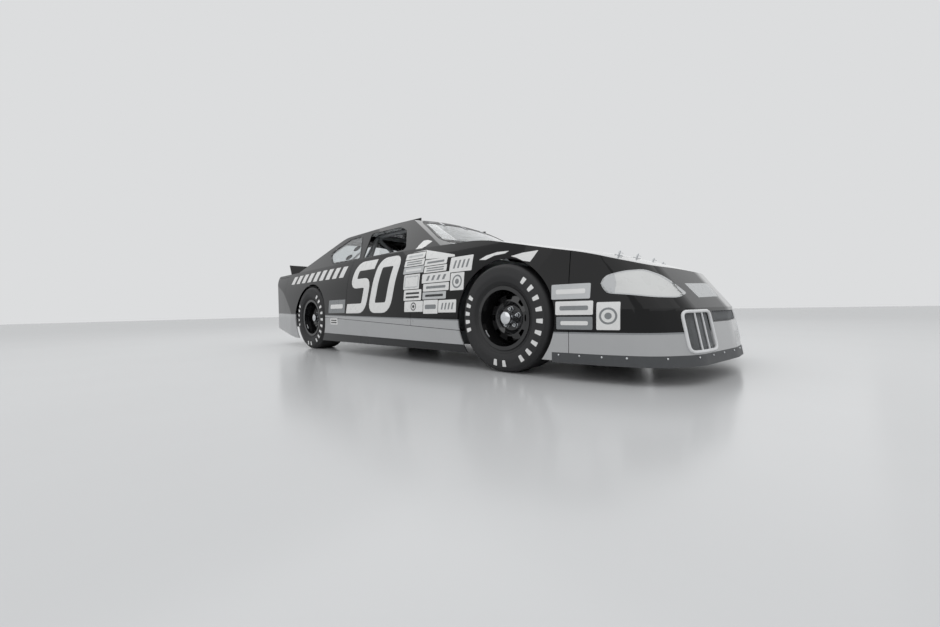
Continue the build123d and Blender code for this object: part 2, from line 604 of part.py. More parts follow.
# Tyre section, one half: distance from the middle plane, radius, corner radius
tyre_rows = [(0, rim_radius, 0), (118, rim_radius, 0), (120.6, 214, 6), (140, 240, 30), (148, 275, 60),
             (141, 326, 30), (118, tyre_radius, 30), (0, tyre_radius, 0)]
tyre_half = tyre_rows[1:-1]
tyre_ring = [(radius, y, bend) for y, radius, bend in tyre_half]
tyre_ring += [(radius, -y, bend) for y, radius, bend in reversed(tyre_half)]
tyre = revolve(outline(Plane.XY, tyre_ring), Axis.Y)

# Wheel: barrel with two lips, a pressed disc with eight windows, and the brake rotor on its pad
lip_half, bead_half, barrel_radius = 127, 121, 185
barrel = turned([(-lip_half, rim_lip_radius), (-lip_half, barrel_radius), (lip_half, barrel_radius),
                 (lip_half, rim_lip_radius), (bead_half, rim_lip_radius), (bead_half, rim_radius),
                 (-bead_half, rim_radius), (-bead_half, rim_lip_radius)])
disc = turned([(pad_back, hub_bore_radius), (pad_back, 88), (44, 112), (34, 150), (-14, barrel_radius + 1),
               (-4, barrel_radius + 1), (44, 153), (54, 112), (pad_y, 84), (pad_y, hub_bore_radius)])
window_count, window_in, window_out = 8, 122, 158
window_rows = [(window_in, -20, 7), (window_out, -30, 9), (window_out, 30, 9), (window_in, 20, 7)]
window = Rot(-90, 0, 0) * extrude(outline(Plane.XY, window_rows), rim_lip_radius, both=True)
for k in range(window_count):
    disc = disc - Rot(0, 360 / window_count * k, 0) * window
hat_in, hat_out = 80, 86
rotor = turned([(pad_back, hat_in), (pad_back, hat_out), (rotor_back + rotor_thick, hat_out),
                (rotor_back + rotor_thick, rotor_radius), (rotor_back, rotor_radius), (rotor_back, hat_in)])
rim = barrel + disc + rotor
for end, x in (("front", front_axle_x), ("rear", rear_axle_x)):
    for side in ("right", "left"):
        for name, part in (("tyre", tyre), ("wheel", rim)):
            placed = Pos(x, wheel_y, tyre_radius) * part
            panels[f"{name}_{end}_{side}"] = mirror(placed, about=Plane.XZ) if side == "right" else placed

for name, part in panels.items():
    save(name, part)
    print(name, [round(v) for v in part.bounding_box().size], len(part.solids()))
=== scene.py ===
"""Looks of the stock car: paint, glass, rubber and metal, and the small pieces that the CAD parts leave out."""
import json
from math import cos, exp, floor, pi, radians, sin

import bmesh
import bpy
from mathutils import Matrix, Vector
from mathutils.bvhtree import BVHTree


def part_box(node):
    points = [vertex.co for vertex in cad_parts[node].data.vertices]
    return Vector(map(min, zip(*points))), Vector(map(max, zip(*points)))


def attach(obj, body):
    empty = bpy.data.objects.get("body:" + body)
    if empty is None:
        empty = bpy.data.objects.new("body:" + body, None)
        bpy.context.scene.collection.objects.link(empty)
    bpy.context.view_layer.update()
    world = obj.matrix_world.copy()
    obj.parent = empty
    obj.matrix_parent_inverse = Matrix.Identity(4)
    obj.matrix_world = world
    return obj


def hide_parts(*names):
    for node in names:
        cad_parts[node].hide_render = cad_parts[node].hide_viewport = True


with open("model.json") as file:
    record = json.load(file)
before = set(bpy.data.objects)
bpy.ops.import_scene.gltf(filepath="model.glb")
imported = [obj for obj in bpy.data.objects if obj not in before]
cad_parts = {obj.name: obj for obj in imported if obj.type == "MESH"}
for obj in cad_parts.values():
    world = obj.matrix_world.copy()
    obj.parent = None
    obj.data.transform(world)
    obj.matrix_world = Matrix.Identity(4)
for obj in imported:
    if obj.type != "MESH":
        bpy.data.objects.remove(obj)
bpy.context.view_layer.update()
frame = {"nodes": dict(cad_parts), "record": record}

MM = 0.001
CAR = "car"

# The car's main places, read from the frame, in metres
tyre_low, tyre_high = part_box("tyre_front_right")
FRONT_AXLE = (tyre_low.x + tyre_high.x) / 2
AXLE_Z = (tyre_low.z + tyre_high.z) / 2
WHEEL_Y = -(tyre_low.y + tyre_high.y) / 2 / MM
rear_low, rear_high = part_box("tyre_rear_right")
REAR = ((rear_low.x + rear_high.x) / 2 - FRONT_AXLE) / MM


def at(a, y, z):
    """A place from mm ahead of the front axle, mm to the car's left and mm up."""
    return Vector((FRONT_AXLE + a * MM, y * MM, z * MM))


# Materials ---

def linear(hex_code):
    """An sRGB hex colour as the linear colour that a shader takes."""
    levels = [int(hex_code[i:i + 2], 16) / 255 for i in (1, 3, 5)]
    bent = [v / 12.92 if v <= 0.04045 else ((v + 0.055) / 1.055) ** 2.4 for v in levels]
    return (*bent, 1.0)


def add(tree, kind, values=(), into=None):
    """Adds a node and returns its first output. Each value goes to the node's setting or input of that name.

    A value that is another node's output is linked; into is the socket that the new node feeds.
    """
    made = tree.nodes.new("ShaderNode" + kind)
    for key, value in dict(values).items():
        if isinstance(value, bpy.types.NodeSocket):
            tree.links.new(value, made.inputs[key])
        elif isinstance(key, str) and hasattr(made, key):
            setattr(made, key, value)
        else:
            made.inputs[key].default_value = value
    if into:
        tree.links.new(made.outputs[0], into)
    return made.outputs[0]


def surface(name, hex_code, patches, rough=None, lumps=None, **shader_settings):
    """A material with one Principled shader, lighter and darker in patches, with fine relief.

    patches is their size in mm, spread of tone and detail; rough is the roughness at both ends of that
    pattern; lumps is their size and depth in mm, strength and detail. Returns the material, its tree and
    shader, the surface's place in metres and the pattern.
    """
    made = bpy.data.materials.new(name)
    made.use_nodes = True
    tree = made.node_tree
    shader = next(n for n in tree.nodes if n.type == "BSDF_PRINCIPLED")
    for key, value in shader_settings.items():
        shader.inputs[key.replace("_", " ")].default_value = value
    place = add(tree, "TexCoord").node.outputs["Object"]
    size, spread, detail = patches
    cloud = add(tree, "TexNoise", {"Scale": 1 / (size * MM), "Detail": detail, "Vector": place})
    shader.inputs["Base Color"].default_value = linear(hex_code)
    if spread:
        tone = add(tree, "MapRange", {"To Min": 1 - spread, "To Max": 1 + spread, "Value": cloud})
        add(tree, "MixRGB", {"blend_type": "MULTIPLY", 0: 1.0, 1: linear(hex_code), 2: tone},
            into=shader.inputs["Base Color"])
    if rough:
        add(tree, "MapRange", {"To Min": rough[0], "To Max": rough[1], "Value": cloud},
            into=shader.inputs["Roughness"])
    if lumps:
        size, depth, strength, detail = lumps
        grain = add(tree, "TexNoise", {"Scale": 1 / (size * MM), "Detail": detail, "Vector": place})
        add(tree, "Bump", {"Strength": strength, "Distance": depth * MM, "Height": grain},
            into=shader.inputs["Normal"])
    return made, tree, shader, place, cloud


def enamel(name, hex_code, roughness=0.13, coat_ior=1.38):
    """Sprayed enamel under clear coat: deep even colour, a sharp mirror on top and faint orange peel."""
    # orange peel lumps are about 4 mm across and a few hundredths deep
    return surface(name, hex_code, (400, 0.06, 2.0), (roughness * 0.8, roughness * 1.3), (4, 0.05, 0.5, 1.0),
                   Coat_Weight=0.75, Coat_Roughness=0.02, Coat_IOR=coat_ior, Specular_IOR_Level=0.06)


SILVER, SKIRT_GREY, LINE_GREY, GLOSS_BLACK = "#B4B5B6", "#2C2D2E", "#8E9092", "#060607"
# Heights in mm of the silver band's edge and the dark skirt's, at these places ahead of the front axle
BAND_FRONT, BAND_FRONT_Z, SKIRT_FRONT_Z = -417, 335, 166
BAND_REAR, BAND_REAR_Z, SKIRT_REAR_Z = -3864, 407, 212
# The nose's band, where its step down starts and ends inside the wheel arch, and a height above the whole car
BAND_NOSE_Z, STEP_REAR, STEP_FRONT, ABOVE_ALL = 266, -100, 100, 1000
# Half the width and the top of the silver middle of the nose, and the height of the grey line on the band
NOSE_SILVER_HALF, NOSE_SILVER_Z, STRIPE = 392, 317, 9


def sloped_line(tree, ahead, rear, front, rear_z, front_z):
    """A height that runs evenly from one place along the car to another and stays level beyond them."""
    return add(tree, "MapRange", {"From Min": at(rear, 0, 0).x, "From Max": at(front, 0, 0).x,
                                  "To Min": rear_z * MM, "To Max": front_z * MM, "Value": ahead})


def skirt_enamel(name):
    """Silver enamel whose lower edge is a strip of matt dark grey, as the skirt under the doors is."""
    made, tree, shader, place, _ = enamel(name, SILVER, 0.28)
    silver = shader.inputs["Base Color"].links[0].from_socket
    ahead, _, up = add(tree, "SeparateXYZ", {0: place}).node.outputs
    edge = sloped_line(tree, ahead, BAND_REAR, BAND_FRONT, SKIRT_REAR_Z, SKIRT_FRONT_Z)
    below = add(tree, "Math", {"operation": "LESS_THAN", 0: up, 1: edge})
    add(tree, "MixRGB", {0: below, 1: silver, 2: linear(SKIRT_GREY)}, into=shader.inputs["Base Color"])
    return made


def banded_enamel(name, cover=False):
    """Black enamel with the silver lower band of the body and the grey line that edges it.

    The band's edge falls from the tail to the front wheel and is lower ahead of it. With cover, the
    middle of the nose is silver up to the foot of its centre opening.
    """
    made, tree, shader, place, _ = enamel(name, GLOSS_BLACK)
    black = shader.inputs["Base Color"].links[0].from_socket
    ahead, left, up = add(tree, "SeparateXYZ", {0: place}).node.outputs
    body_edge = sloped_line(tree, ahead, BAND_REAR, BAND_FRONT, BAND_REAR_Z, BAND_FRONT_Z)
    nose_edge = sloped_line(tree, ahead, STEP_REAR, STEP_FRONT, ABOVE_ALL, BAND_NOSE_Z)
    edge = add(tree, "Math", {"operation": "MINIMUM", 0: body_edge, 1: nose_edge})
    below = add(tree, "Math", {"operation": "LESS_THAN", 0: up, 1: edge})
    if cover:
        aside = add(tree, "Math", {"operation": "ABSOLUTE", 0: left})
        middle = add(tree, "Math", {"operation": "LESS_THAN", 0: aside, 1: NOSE_SILVER_HALF * MM})
        foot = add(tree, "Math", {"operation": "LESS_THAN", 0: up, 1: NOSE_SILVER_Z * MM})
        patch = add(tree, "Math", {"operation": "MULTIPLY", 0: middle, 1: foot})
        below = add(tree, "Math", {"operation": "MAXIMUM", 0: below, 1: patch})
    stripe_top = add(tree, "Math", {"operation": "ADD", 0: edge, 1: STRIPE * MM})
    stripe = add(tree, "Math", {"operation": "LESS_THAN", 0: up, 1: stripe_top})
    lined = add(tree, "MixRGB", {0: stripe, 1: black, 2: linear(LINE_GREY)})
    add(tree, "MixRGB", {0: below, 1: lined, 2: linear(SILVER)}, into=shader.inputs["Base Color"])
    return made


def brushed_metal(name, hex_code, roughness, grain_mm=0.8):
    """Rolled or machined bare metal: fine grain that spreads the shine, a few duller patches."""
    # real grain is under 0.1 mm; drawn coarser so that it shows
    return surface(name, hex_code, (60, 0.1, 4.0), (roughness * 0.7, roughness * 1.4), (grain_mm, 0.03, 0.4, 3.0),
                   Metallic=1.0)[0]


def coated(name, hex_code, roughness, lump_mm=6.0, depth_mm=0.1):
    """Brush paint, powder coat, casting skin or moulded plastic: even colour on a finely uneven skin."""
    return surface(name, hex_code, (25, 0.12, 4.0), (roughness * 0.85, roughness * 1.2),
                   (lump_mm, depth_mm, 0.6, 3.0))[0]


def polycarbonate(name, hex_code):
    """Clear sheet, 5 mm thick: near-colourless, sharp reflections, faint wiping smears."""
    return surface(name, hex_code, (180, 0.0, 3.0), (0.0, 0.008), IOR=1.58, Transmission_Weight=1.0)[0]


def sidewall_rubber(name, hex_code):
    """Moulded racing rubber: charcoal, satin, with fine mould grain and dusty scuffs."""
    return surface(name, hex_code, (50, 0.22, 5.0), (0.5, 0.72), (1.5, 0.12, 0.7, 4.0), Specular_IOR_Level=0.4)[0]


# Metres from one band to the next in a wave texture of scale 1
THREAD_WAVE = 0.31


def woven(name, hex_code, thread_mm):
    """Woven cloth or webbing: two crossed sets of threads and a soft sheen."""
    made, tree, shader, place, _ = surface(name, hex_code, (30, 0.15, 3.0), Roughness=0.85, Sheen_Weight=0.25,
                                           Sheen_Roughness=0.5)
    threads = {"wave_type": "BANDS", "Scale": THREAD_WAVE / (thread_mm * MM), "Vector": place}
    warp, weft = [add(tree, "TexWave", {**threads, "bands_direction": way}).node.outputs["Fac"]
                  for way in ("Y", "Z")]
    crossing = add(tree, "Math", {"operation": "MULTIPLY", 0: warp, 1: weft})
    add(tree, "Bump", {"Strength": 0.8, "Distance": 0.3 * MM, "Height": crossing}, into=shader.inputs["Normal"])
    return made


def vinyl(name, hex_code):
    """Cut sticker film: even printed colour, smooth, with faint waves where it was pressed on."""
    made, tree, shader, _, waves = surface(name, hex_code, (70, 0.03, 2.0), (0.22, 0.34))
    add(tree, "Bump", {"Strength": 0.5, "Distance": 0.15 * MM, "Height": waves}, into=shader.inputs["Normal"])
    return made


# Deep gloss black above a silver band, with a soft sky in it
BLACK_BODY = banded_enamel("Black enamel with silver band")
BLACK_NOSE = banded_enamel("Black enamel with silver band and nose", cover=True)
# Plain gloss black for the lids and the seams behind the panels
BLACK_ENAMEL = enamel("Gloss black enamel", GLOSS_BLACK)[0]
# Even pale grey that shades softly, dark and dull along its foot
SILVER_ENAMEL = skirt_enamel("Silver enamel over dark skirt")
# Clean bright surrounds of the grilles
WHITE_ENAMEL = enamel("White enamel trim", "#E4E5E6", 0.25)[0]
# Near black, glossy enough to show each hole's edge
WHEEL_ENAMEL = enamel("Black wheel enamel", "#1A1A1B", 0.2, 1.7)[0]
# Satin dark grey with a fine pebble from its mould
DAM_PLASTIC = coated("Moulded grey air dam plastic", "#47494B", 0.5, 3.0, 0.12)
# Dull black that keeps glare off the windshield
BLACK_PLASTIC = coated("Matt black crackle paint", "#141415", 0.6, 1.5, 0.15)
# Mid grey that lets the fine screens stand out from the dark behind
WIRE_PAINT = coated("Grey painted wire", "#7C7E80", 0.5, 3.0, 0.05)
# Nearly invisible sheet with a sharp sky in it
CLEAR_SHEET = polycarbonate("Clear polycarbonate sheet", "#F2F6F7")
# Charcoal that never shines, blotched by dust
TYRE_RUBBER = sidewall_rubber("Moulded racing rubber", "#2C2C2D")
# Even grey brush paint on welded tube
CHASSIS_PAINT = coated("Grey chassis enamel", "#5B5E61", 0.4)
# Paler, smoother paint that brightens the cabin
COCKPIT_PAINT = coated("Light grey cockpit enamel", "#A2A5A7", 0.38, 10.0, 0.08)
# Soft broad shine of rolled sheet
BARE_SHEET = brushed_metal("Bare aluminium sheet", "#B5B7B9", 0.32)
# Rough sand-cast skin under dull paint
CAST_IRON = coated("Painted cast iron", "#66686A", 0.55, 2.5, 0.25)
# Tighter shine of turned parts
MACHINED_STEEL = brushed_metal("Machined steel", "#A7A8AA", 0.25, 0.5)
# Nearly a mirror, a little softened
POLISHED_ALUMINIUM = brushed_metal("Polished aluminium", "#D3D5D7", 0.16, 1.0)
# Small bright heads that catch the light
ZINC_STEEL = brushed_metal("Zinc plated steel", "#C6C8CA", 0.24, 0.6)
# Soft dark cloth with its threads just visible
SEAT_CLOTH = woven("Black seat cloth", "#1B1B1D", 1.6)
# Coarser threads of narrow belts
WEBBING = woven("Black belt webbing", "#222326", 2.2)
# Smooth soft black, a little shiny
RUBBER_TRIM = coated("Black rubber trim", "#0E0E0F", 0.45, 2.0, 0.05)
# Dull, softly pitted foam
PADDING = coated("Black foam padding", "#19191A", 0.8, 1.2, 0.3)
# Clean flat film in white, three greys, a milky lamp white and a deep red
WHITE_VINYL = vinyl("White sticker film", "#E9E9E8")
PALE_VINYL = vinyl("Pale grey sticker film", "#C4C6C7")
GREY_VINYL = vinyl("Grey sticker film", "#85888A")
DARK_VINYL = vinyl("Dark grey sticker film", "#2A2B2D")
LAMP_VINYL = vinyl("Printed lamp film", "#DADBDA")
RED_VINYL = vinyl("Dark red sticker film", "#5A1414")

SLOT_FINISH = {
    "body_paint": BLACK_BODY, "silver_paint": SILVER_ENAMEL, "air_dam_plastic": DAM_PLASTIC,
    "window": CLEAR_SHEET, "bare_metal": BARE_SHEET, "chassis_paint": CHASSIS_PAINT,
    "cockpit_sheet": COCKPIT_PAINT, "dash_black": BLACK_PLASTIC, "seat_fabric": SEAT_CLOTH,
    "engine_iron": CAST_IRON, "hub_steel": MACHINED_STEEL, "tyre_rubber": TYRE_RUBBER, "wheel_paint": WHEEL_ENAMEL,
}
NODE_FINISH = {"nose_fascia": BLACK_NOSE, "hood": BLACK_ENAMEL, "spoiler": BLACK_ENAMEL,
               "seam_flanges": BLACK_ENAMEL, "exhaust_pipes": CAST_IRON}


def dress_nodes():
    """Every CAD piece takes its own finish or that of its material slot."""
    slot_of = {row["node"]: row["material_slot"] for row in frame["record"]["subparts"]}
    for name, piece in frame["nodes"].items():
        finish = NODE_FINISH.get(name, SLOT_FINISH[slot_of[name]])
        for holder in piece.material_slots:
            holder.material = finish
        if not piece.material_slots:
            piece.data.materials.append(finish)


# Making pieces ---

def put_in(name, data):
    """A new object in the scene."""
    made = bpy.data.objects.new(name, data)
    bpy.context.scene.collection.objects.link(made)
    return made


def finished(name, form, *finishes, body=CAR, slot=None, smooth=True):
    """The mesh as a named object with its finishes, riding on a body."""
    mesh = bpy.data.meshes.new(name)
    bmesh.ops.remove_doubles(form, verts=form.verts, dist=1e-6)
    form.to_mesh(mesh)
    form.free()
    for finish in finishes:
        mesh.materials.append(finish)
    made = put_in(name, mesh)
    if smooth:
        mesh.shade_smooth()
        mesh.set_sharp_from_angle(angle=radians(35))
    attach(made, body)
    return made


def turns(count):
    """Angles spread evenly over a full turn."""
    return [2 * pi * k / count for k in range(count)]


def bridged(form, rings, closed=False):
    """Faces between each ring of corners and the next, with flat ends when it is open. A ring may be one point."""
    made = []
    for one, two in zip(rings, rings[1:] + rings[:1] if closed else rings[1:]):
        for s in range(max(len(one), len(two))):
            n = s + 1
            ring = [one[s % len(one)], one[n % len(one)], two[n % len(two)], two[s % len(two)]]
            made.append(form.faces.new(list(dict.fromkeys(ring))))
    if not closed:
        made += [form.faces.new(ring) for ring in (rings[0][::-1], rings[-1]) if len(ring) > 1]
    return made


def ways_along(points, closed):
    """Each point of a path with the way that the path runs there."""
    last = len(points) - 1
    for k, point in enumerate(points):
        back = points[k - 1] if closed or k else point
        ahead = points[(k + 1) % len(points)] if closed or k < last else point
        yield point, (ahead - back).normalized()


def tube(form, points, radius, sides=8, closed=False):
    """A round bar of one radius through the points."""
    rings = []
    across = None
    for point, along in ways_along(points, closed):
        start = across if across else Vector((0, 0, 1)) if abs(along.z) < 0.9 else Vector((1, 0, 0))
        across = (start - along * start.dot(along)).normalized()
        other = along.cross(across)
        rings.append([form.verts.new(point + (across * cos(t) + other * sin(t)) * radius * MM)
                      for t in turns(sides)])
    bridged(form, rings, closed)


def turned(form, rows, centre, axis, steps=24):
    """A turned solid: rows of distance along the axis and radius, in mm, from one end to the other."""
    axis = axis.normalized()
    across = axis.orthogonal().normalized()
    other = axis.cross(across)
    rings = []
    for along, radius in rows:
        ways = [across * cos(t) + other * sin(t) for t in turns(steps)] if radius else [Vector()]
        rings.append([form.verts.new(centre + axis * along * MM + way * radius * MM) for way in ways])
    bridged(form, rings)


def turned_piece(name, rows, centres, axis, steps, finish, body=CAR, slot=None, smooth=True):
    """A named piece of equal turned solids, one at each centre."""
    made = bmesh.new()
    for centre in centres:
        turned(made, rows, centre, axis, steps)
    finished(name, made, finish, body=body, slot=slot, smooth=smooth)


def rectangle(low, high, foot, top):
    """The corners of an upright rectangle in a drawing."""
    return [(low, foot), (high, foot), (high, top), (low, top)]


def bend(start, here, end, steps):
    """Points of a smooth bend that leaves start and arrives at end, pulled towards here."""
    return [start * (1 - t) ** 2 + here * 2 * t * (1 - t) + end * t ** 2
            for t in (s / steps for s in range(steps + 1))]


def rounded(corners, radius, closed=True, steps=5):
    """The corners of a path with each one rounded by about radius."""
    points = []
    for k, corner in enumerate(corners):
        if not closed and k in (0, len(corners) - 1):
            points.append(corner)
            continue
        here = Vector(corner)
        back, ahead = Vector(corners[k - 1]) - here, Vector(corners[(k + 1) % len(corners)]) - here
        cut = min(radius, back.length * 0.49, ahead.length * 0.49)
        points += map(tuple, bend(here + back.normalized() * cut, here, here + ahead.normalized() * cut, steps))
    return points


def ribbon(path, width, closed=False):
    """Both edges of a strip of that width along a drawn path."""
    left, right = [], []
    for point, along in ways_along([Vector(p) for p in path], closed):
        side = Vector((-along.y, along.x)) * width / 2
        left.append(tuple(point + side))
        right.append(tuple(point - side))
    return left, right, closed


# Where a drawing's point starts and which way it looks for the skin, in mm ahead, left and up; how far it looks
DRAWINGS = {
    "right": (lambda s, t: at(s, -1300, t), Vector((0, 1, 0)), 0.86),
    "left": (lambda s, t: at(s, 1300, t), Vector((0, -1, 0)), 0.86),
    "top": (lambda s, t: at(s, t, 1700), Vector((0, 0, -1)), 1.6),
    "front": (lambda s, t: at(1500, s, t), Vector((-1, 0, 0)), 4.2),
    "back": (lambda s, t: at(REAR - 1500, s, t), Vector((1, 0, 0)), 4.2),
}


def skin_of(*names):
    """The outer surfaces of some CAD pieces, for finding places on them."""
    corners, faces = [], []
    for name in names:
        mesh = frame["nodes"][name].data
        first = len(corners)
        corners += [v.co.copy() for v in mesh.vertices]
        faces += [[first + i for i in face.vertices] for face in mesh.polygons]
    return BVHTree.FromPolygons(corners, faces)


SIDES = ("right", "left")
BODY_SKIN = skin_of("nose_fascia", "hood", "cowl_panel", "rear_shelf", "deck_lid", "bumper_cover",
                    "roof_and_pillars", "windshield", "rear_window",
                    *[f"{name}_{side}" for side in SIDES for name in
                      ("front_fender", "door_panel", "rocker_panel", "quarter_panel", "quarter_window")])
DAM_SKIN = skin_of("air_dam")
# How far to look aside where a point falls into a seam, and how much deeper than its edge a seam's floor is, in mm
NEARBY = [(0, 0), (7, 0), (-7, 0), (0, 7), (0, -7), (12, 12), (-12, -12), (-12, 12), (12, -12)]
SEAM_DEPTH = 60
# How far each layer of a laid sheet lies above the one before, in mm, so that prints on a sticker show
LAYER_STEP = 0.62


def on_skin(side, s, t, skin=BODY_SKIN):
    """The skin's point under a drawing's point, in mm, and its outward normal.

    A place in a seam takes the depth of the skin beside it, not of what lies far behind the seam.
    """
    origin, along, reach = DRAWINGS[side]
    hits = [skin.ray_cast(origin(s + ds, t + dt), along, reach) for ds, dt in NEARBY]
    hits = [(depth, normal) for _, normal, _, depth in hits if normal]
    if not hits:
        raise ValueError(f"no skin under {side} {s:.0f} {t:.0f}")
    nearest = min(depth for depth, _ in hits)
    depth, normal = next(hit for hit in hits if hit[0] < nearest + SEAM_DEPTH * MM)
    return origin(s, t) + along * depth, normal if normal.dot(along) < 0 else -normal


def flat_shape(shape, step):
    """An outline or a ribbon as flat triangles, cut along a grid of that step so that it can follow the skin."""
    flat = bmesh.new()
    if isinstance(shape, tuple):
        one, two, closed = shape
        first, second = [[flat.verts.new((*p, 0)) for p in edge] for edge in (one, two)]
        for k in range(len(one) if closed else len(one) - 1):
            n = (k + 1) % len(one)
            flat.faces.new((first[k], first[n], second[n], second[k]))
    else:
        flat.faces.new([flat.verts.new((*p, 0)) for p in shape])
    bmesh.ops.triangulate(flat, faces=flat.faces[:])
    for axis in (0, 1):
        reach = [v.co[axis] for v in flat.verts]
        line = (floor(min(reach) / step) + 1) * step
        while line < max(reach):
            spot, across = [0, 0, 0], [0, 0, 0]
            spot[axis], across[axis] = line, 1
            bmesh.ops.bisect_plane(flat, geom=flat.verts[:] + flat.edges[:] + flat.faces[:], dist=0.01,
                                   plane_co=spot, plane_no=across)
            line += step
    return flat


def laid(name, shapes, side, body=CAR, skin=BODY_SKIN, step=22, high=0.7, thick=0.5):
    """Thin sheet laid on the skin. A shape is an outline or a ribbon, its finish and its layer."""
    made = bmesh.new()
    finishes = list(dict.fromkeys(finish for _, finish, _ in shapes))
    for shape, finish, layer in shapes:
        flat = flat_shape(shape, step)
        lift = (high + LAYER_STEP * layer) * MM
        outer, inner, normals = {}, {}, {}
        for vert in flat.verts:
            spot, normal = on_skin(side, vert.co.x, vert.co.y, skin)
            normals[vert] = normal
            outer[vert] = made.verts.new(spot + normal * lift)
            inner[vert] = made.verts.new(spot + normal * (lift - thick * MM))
        faces = []
        for face in flat.faces:
            ring = list(face.verts)
            fan = [outer[v].co - outer[ring[0]].co for v in ring[1:]]
            facing = sum((one.cross(two) for one, two in zip(fan, fan[1:])), Vector())
            if facing.dot(normals[ring[0]]) < 0:
                ring.reverse()
            faces += [[outer[v] for v in ring], [inner[v] for v in reversed(ring)]]
            faces += [(outer[b], outer[a], inner[a], inner[b]) for a, b in zip(ring, ring[1:] + ring[:1])
                      if len(flat.edges.get((a, b)).link_faces) == 1]
        for corners in faces:
            made.faces.new(corners).material_index = finishes.index(finish)
        flat.free()
    finished(name, made, *finishes, body=body)


def headed(name, side, spots, radius, height, finish, skin=BODY_SKIN, body=CAR):
    """Domed heads of rivets or bolts standing on the skin at the drawing's spots."""
    made = bmesh.new()
    rows = [(-0.5, radius), (height * 0.5, radius * 0.92), (height * 0.85, radius * 0.6), (height, 0)]
    for s, t in spots:
        turned(made, rows, *on_skin(side, s, t, skin), 10)
    finished(name, made, finish, body=body)


# Camera and room ---

def make_camera():
    """Camera low at the car's right front corner, wide, as the car is seen standing on its floor."""
    ahead, left, height, pitch, yaw, roll = 1502, -2825, 415, -0.63, 132.83, -1.15
    focal_pixels, frame_pixels, film = 374.0, 940.0, 36.0
    data = bpy.data.cameras.new("Camera")
    data.sensor_width = film
    data.lens = focal_pixels / frame_pixels * film
    data.clip_start = 0.05
    camera = put_in("Camera", data)
    camera.location = at(ahead, left, height)
    turn, tip = radians(yaw), radians(pitch)
    looks = Vector((cos(turn) * cos(tip), sin(turn) * cos(tip), sin(tip)))
    camera.rotation_euler = looks.to_track_quat("-Z", "Y").to_euler()
    camera.rotation_euler.rotate_axis("Z", radians(roll))
    bpy.context.scene.camera = camera


# Lamps: name, size in metres, place, strength in watts; and the height of the car's waist, which they aim at
LAMPS = [("Top", (12.0, 8.0), (0.0, 0.0, 5.2), 200), ("Side", (10.0, 6.0), (1.0, -7.5, 4.2), 105),
         ("Nose", (7.0, 5.0), (8.0, -1.0, 4.2), 48), ("Far_side", (10.0, 6.0), (-1.0, 7.5, 4.2), 40)]
WAIST = 0.5


def make_room():
    """Plain pale floor, pale surroundings and soft studio lamps."""
    bpy.ops.mesh.primitive_plane_add(size=80, location=(0, 0, 0))
    floor = bpy.context.object
    floor.name = "floor"
    # even pale grey with a soft sheen, so that the car's foot shows in it
    floor.data.materials.append(surface("Pale sealed floor", "#D4D5D6", (900, 0.02, 2.0), Roughness=0.2)[0])
    world = bpy.data.worlds.new("Studio")
    bpy.context.scene.world = world
    world.use_nodes = True
    tree = world.node_tree
    light = tree.nodes["Background"]
    light.inputs["Color"].default_value = linear("#E2E3E4")
    light.inputs["Strength"].default_value = 0.66
    pale = add(tree, "Background", {"Color": linear("#DCDDDE"), "Strength": 1.0})
    # what the camera, glass and gloss see of the room is the pale backdrop, not the lamps' fill
    rays = add(tree, "LightPath").node.outputs
    seen = add(tree, "Math", {"operation": "MAXIMUM", 0: rays["Is Camera Ray"], 1: rays["Is Transmission Ray"]})
    seen = add(tree, "Math", {"operation": "MAXIMUM", 0: seen, 1: rays["Is Glossy Ray"]})
    add(tree, "MixShader", {0: seen, 1: light.outputs[0], 2: pale},
        into=tree.nodes["World Output"].inputs["Surface"])
    for name, (width, depth), spot, power in LAMPS:
        data = bpy.data.lights.new(name, "AREA")
        data.shape = "RECTANGLE"
        data.size, data.size_y, data.energy = width, depth, power
        lamp = put_in(name, data)
        lamp.location = spot
        lamp.rotation_euler = (Vector((0, 0, WAIST)) - Vector(spot)).to_track_quat("-Z", "Y").to_euler()
    bpy.context.scene.view_settings.view_transform = "Standard"


make_camera()
make_room()
dress_nodes()


# Numbers and stickers ---

def number_shapes(low, high, foot, top, flip=False, stroke=92):
    """A plain block 50 that leans forward, as ribbons between two ends and two heights."""
    gap, slant, shoulder, corner = 46, 0.2, 0.57, 70
    tall = top - foot
    wide = (high - low - gap - slant * tall) / 2
    half = stroke / 2
    five = [(wide, tall - half), (half, tall - half), (half, tall * shoulder), (wide - half, tall * shoulder),
            (wide - half, half), (0, half)]
    nought = rectangle(half, wide - half, half, tall - half)
    shapes = []
    for start, path, closed in ((low, five, False), (low + wide + gap, nought, True)):
        bent = rounded(path, corner, closed)
        edges = [[(start + s + slant * t, foot + t) for s, t in edge] for edge in ribbon(bent, stroke, closed)[:2]]
        if flip:
            edges = [[(low + high - s, t) for s, t in edge] for edge in edges]
        shapes.append(((*edges, closed), WHITE_VINYL, 0))
    return shapes


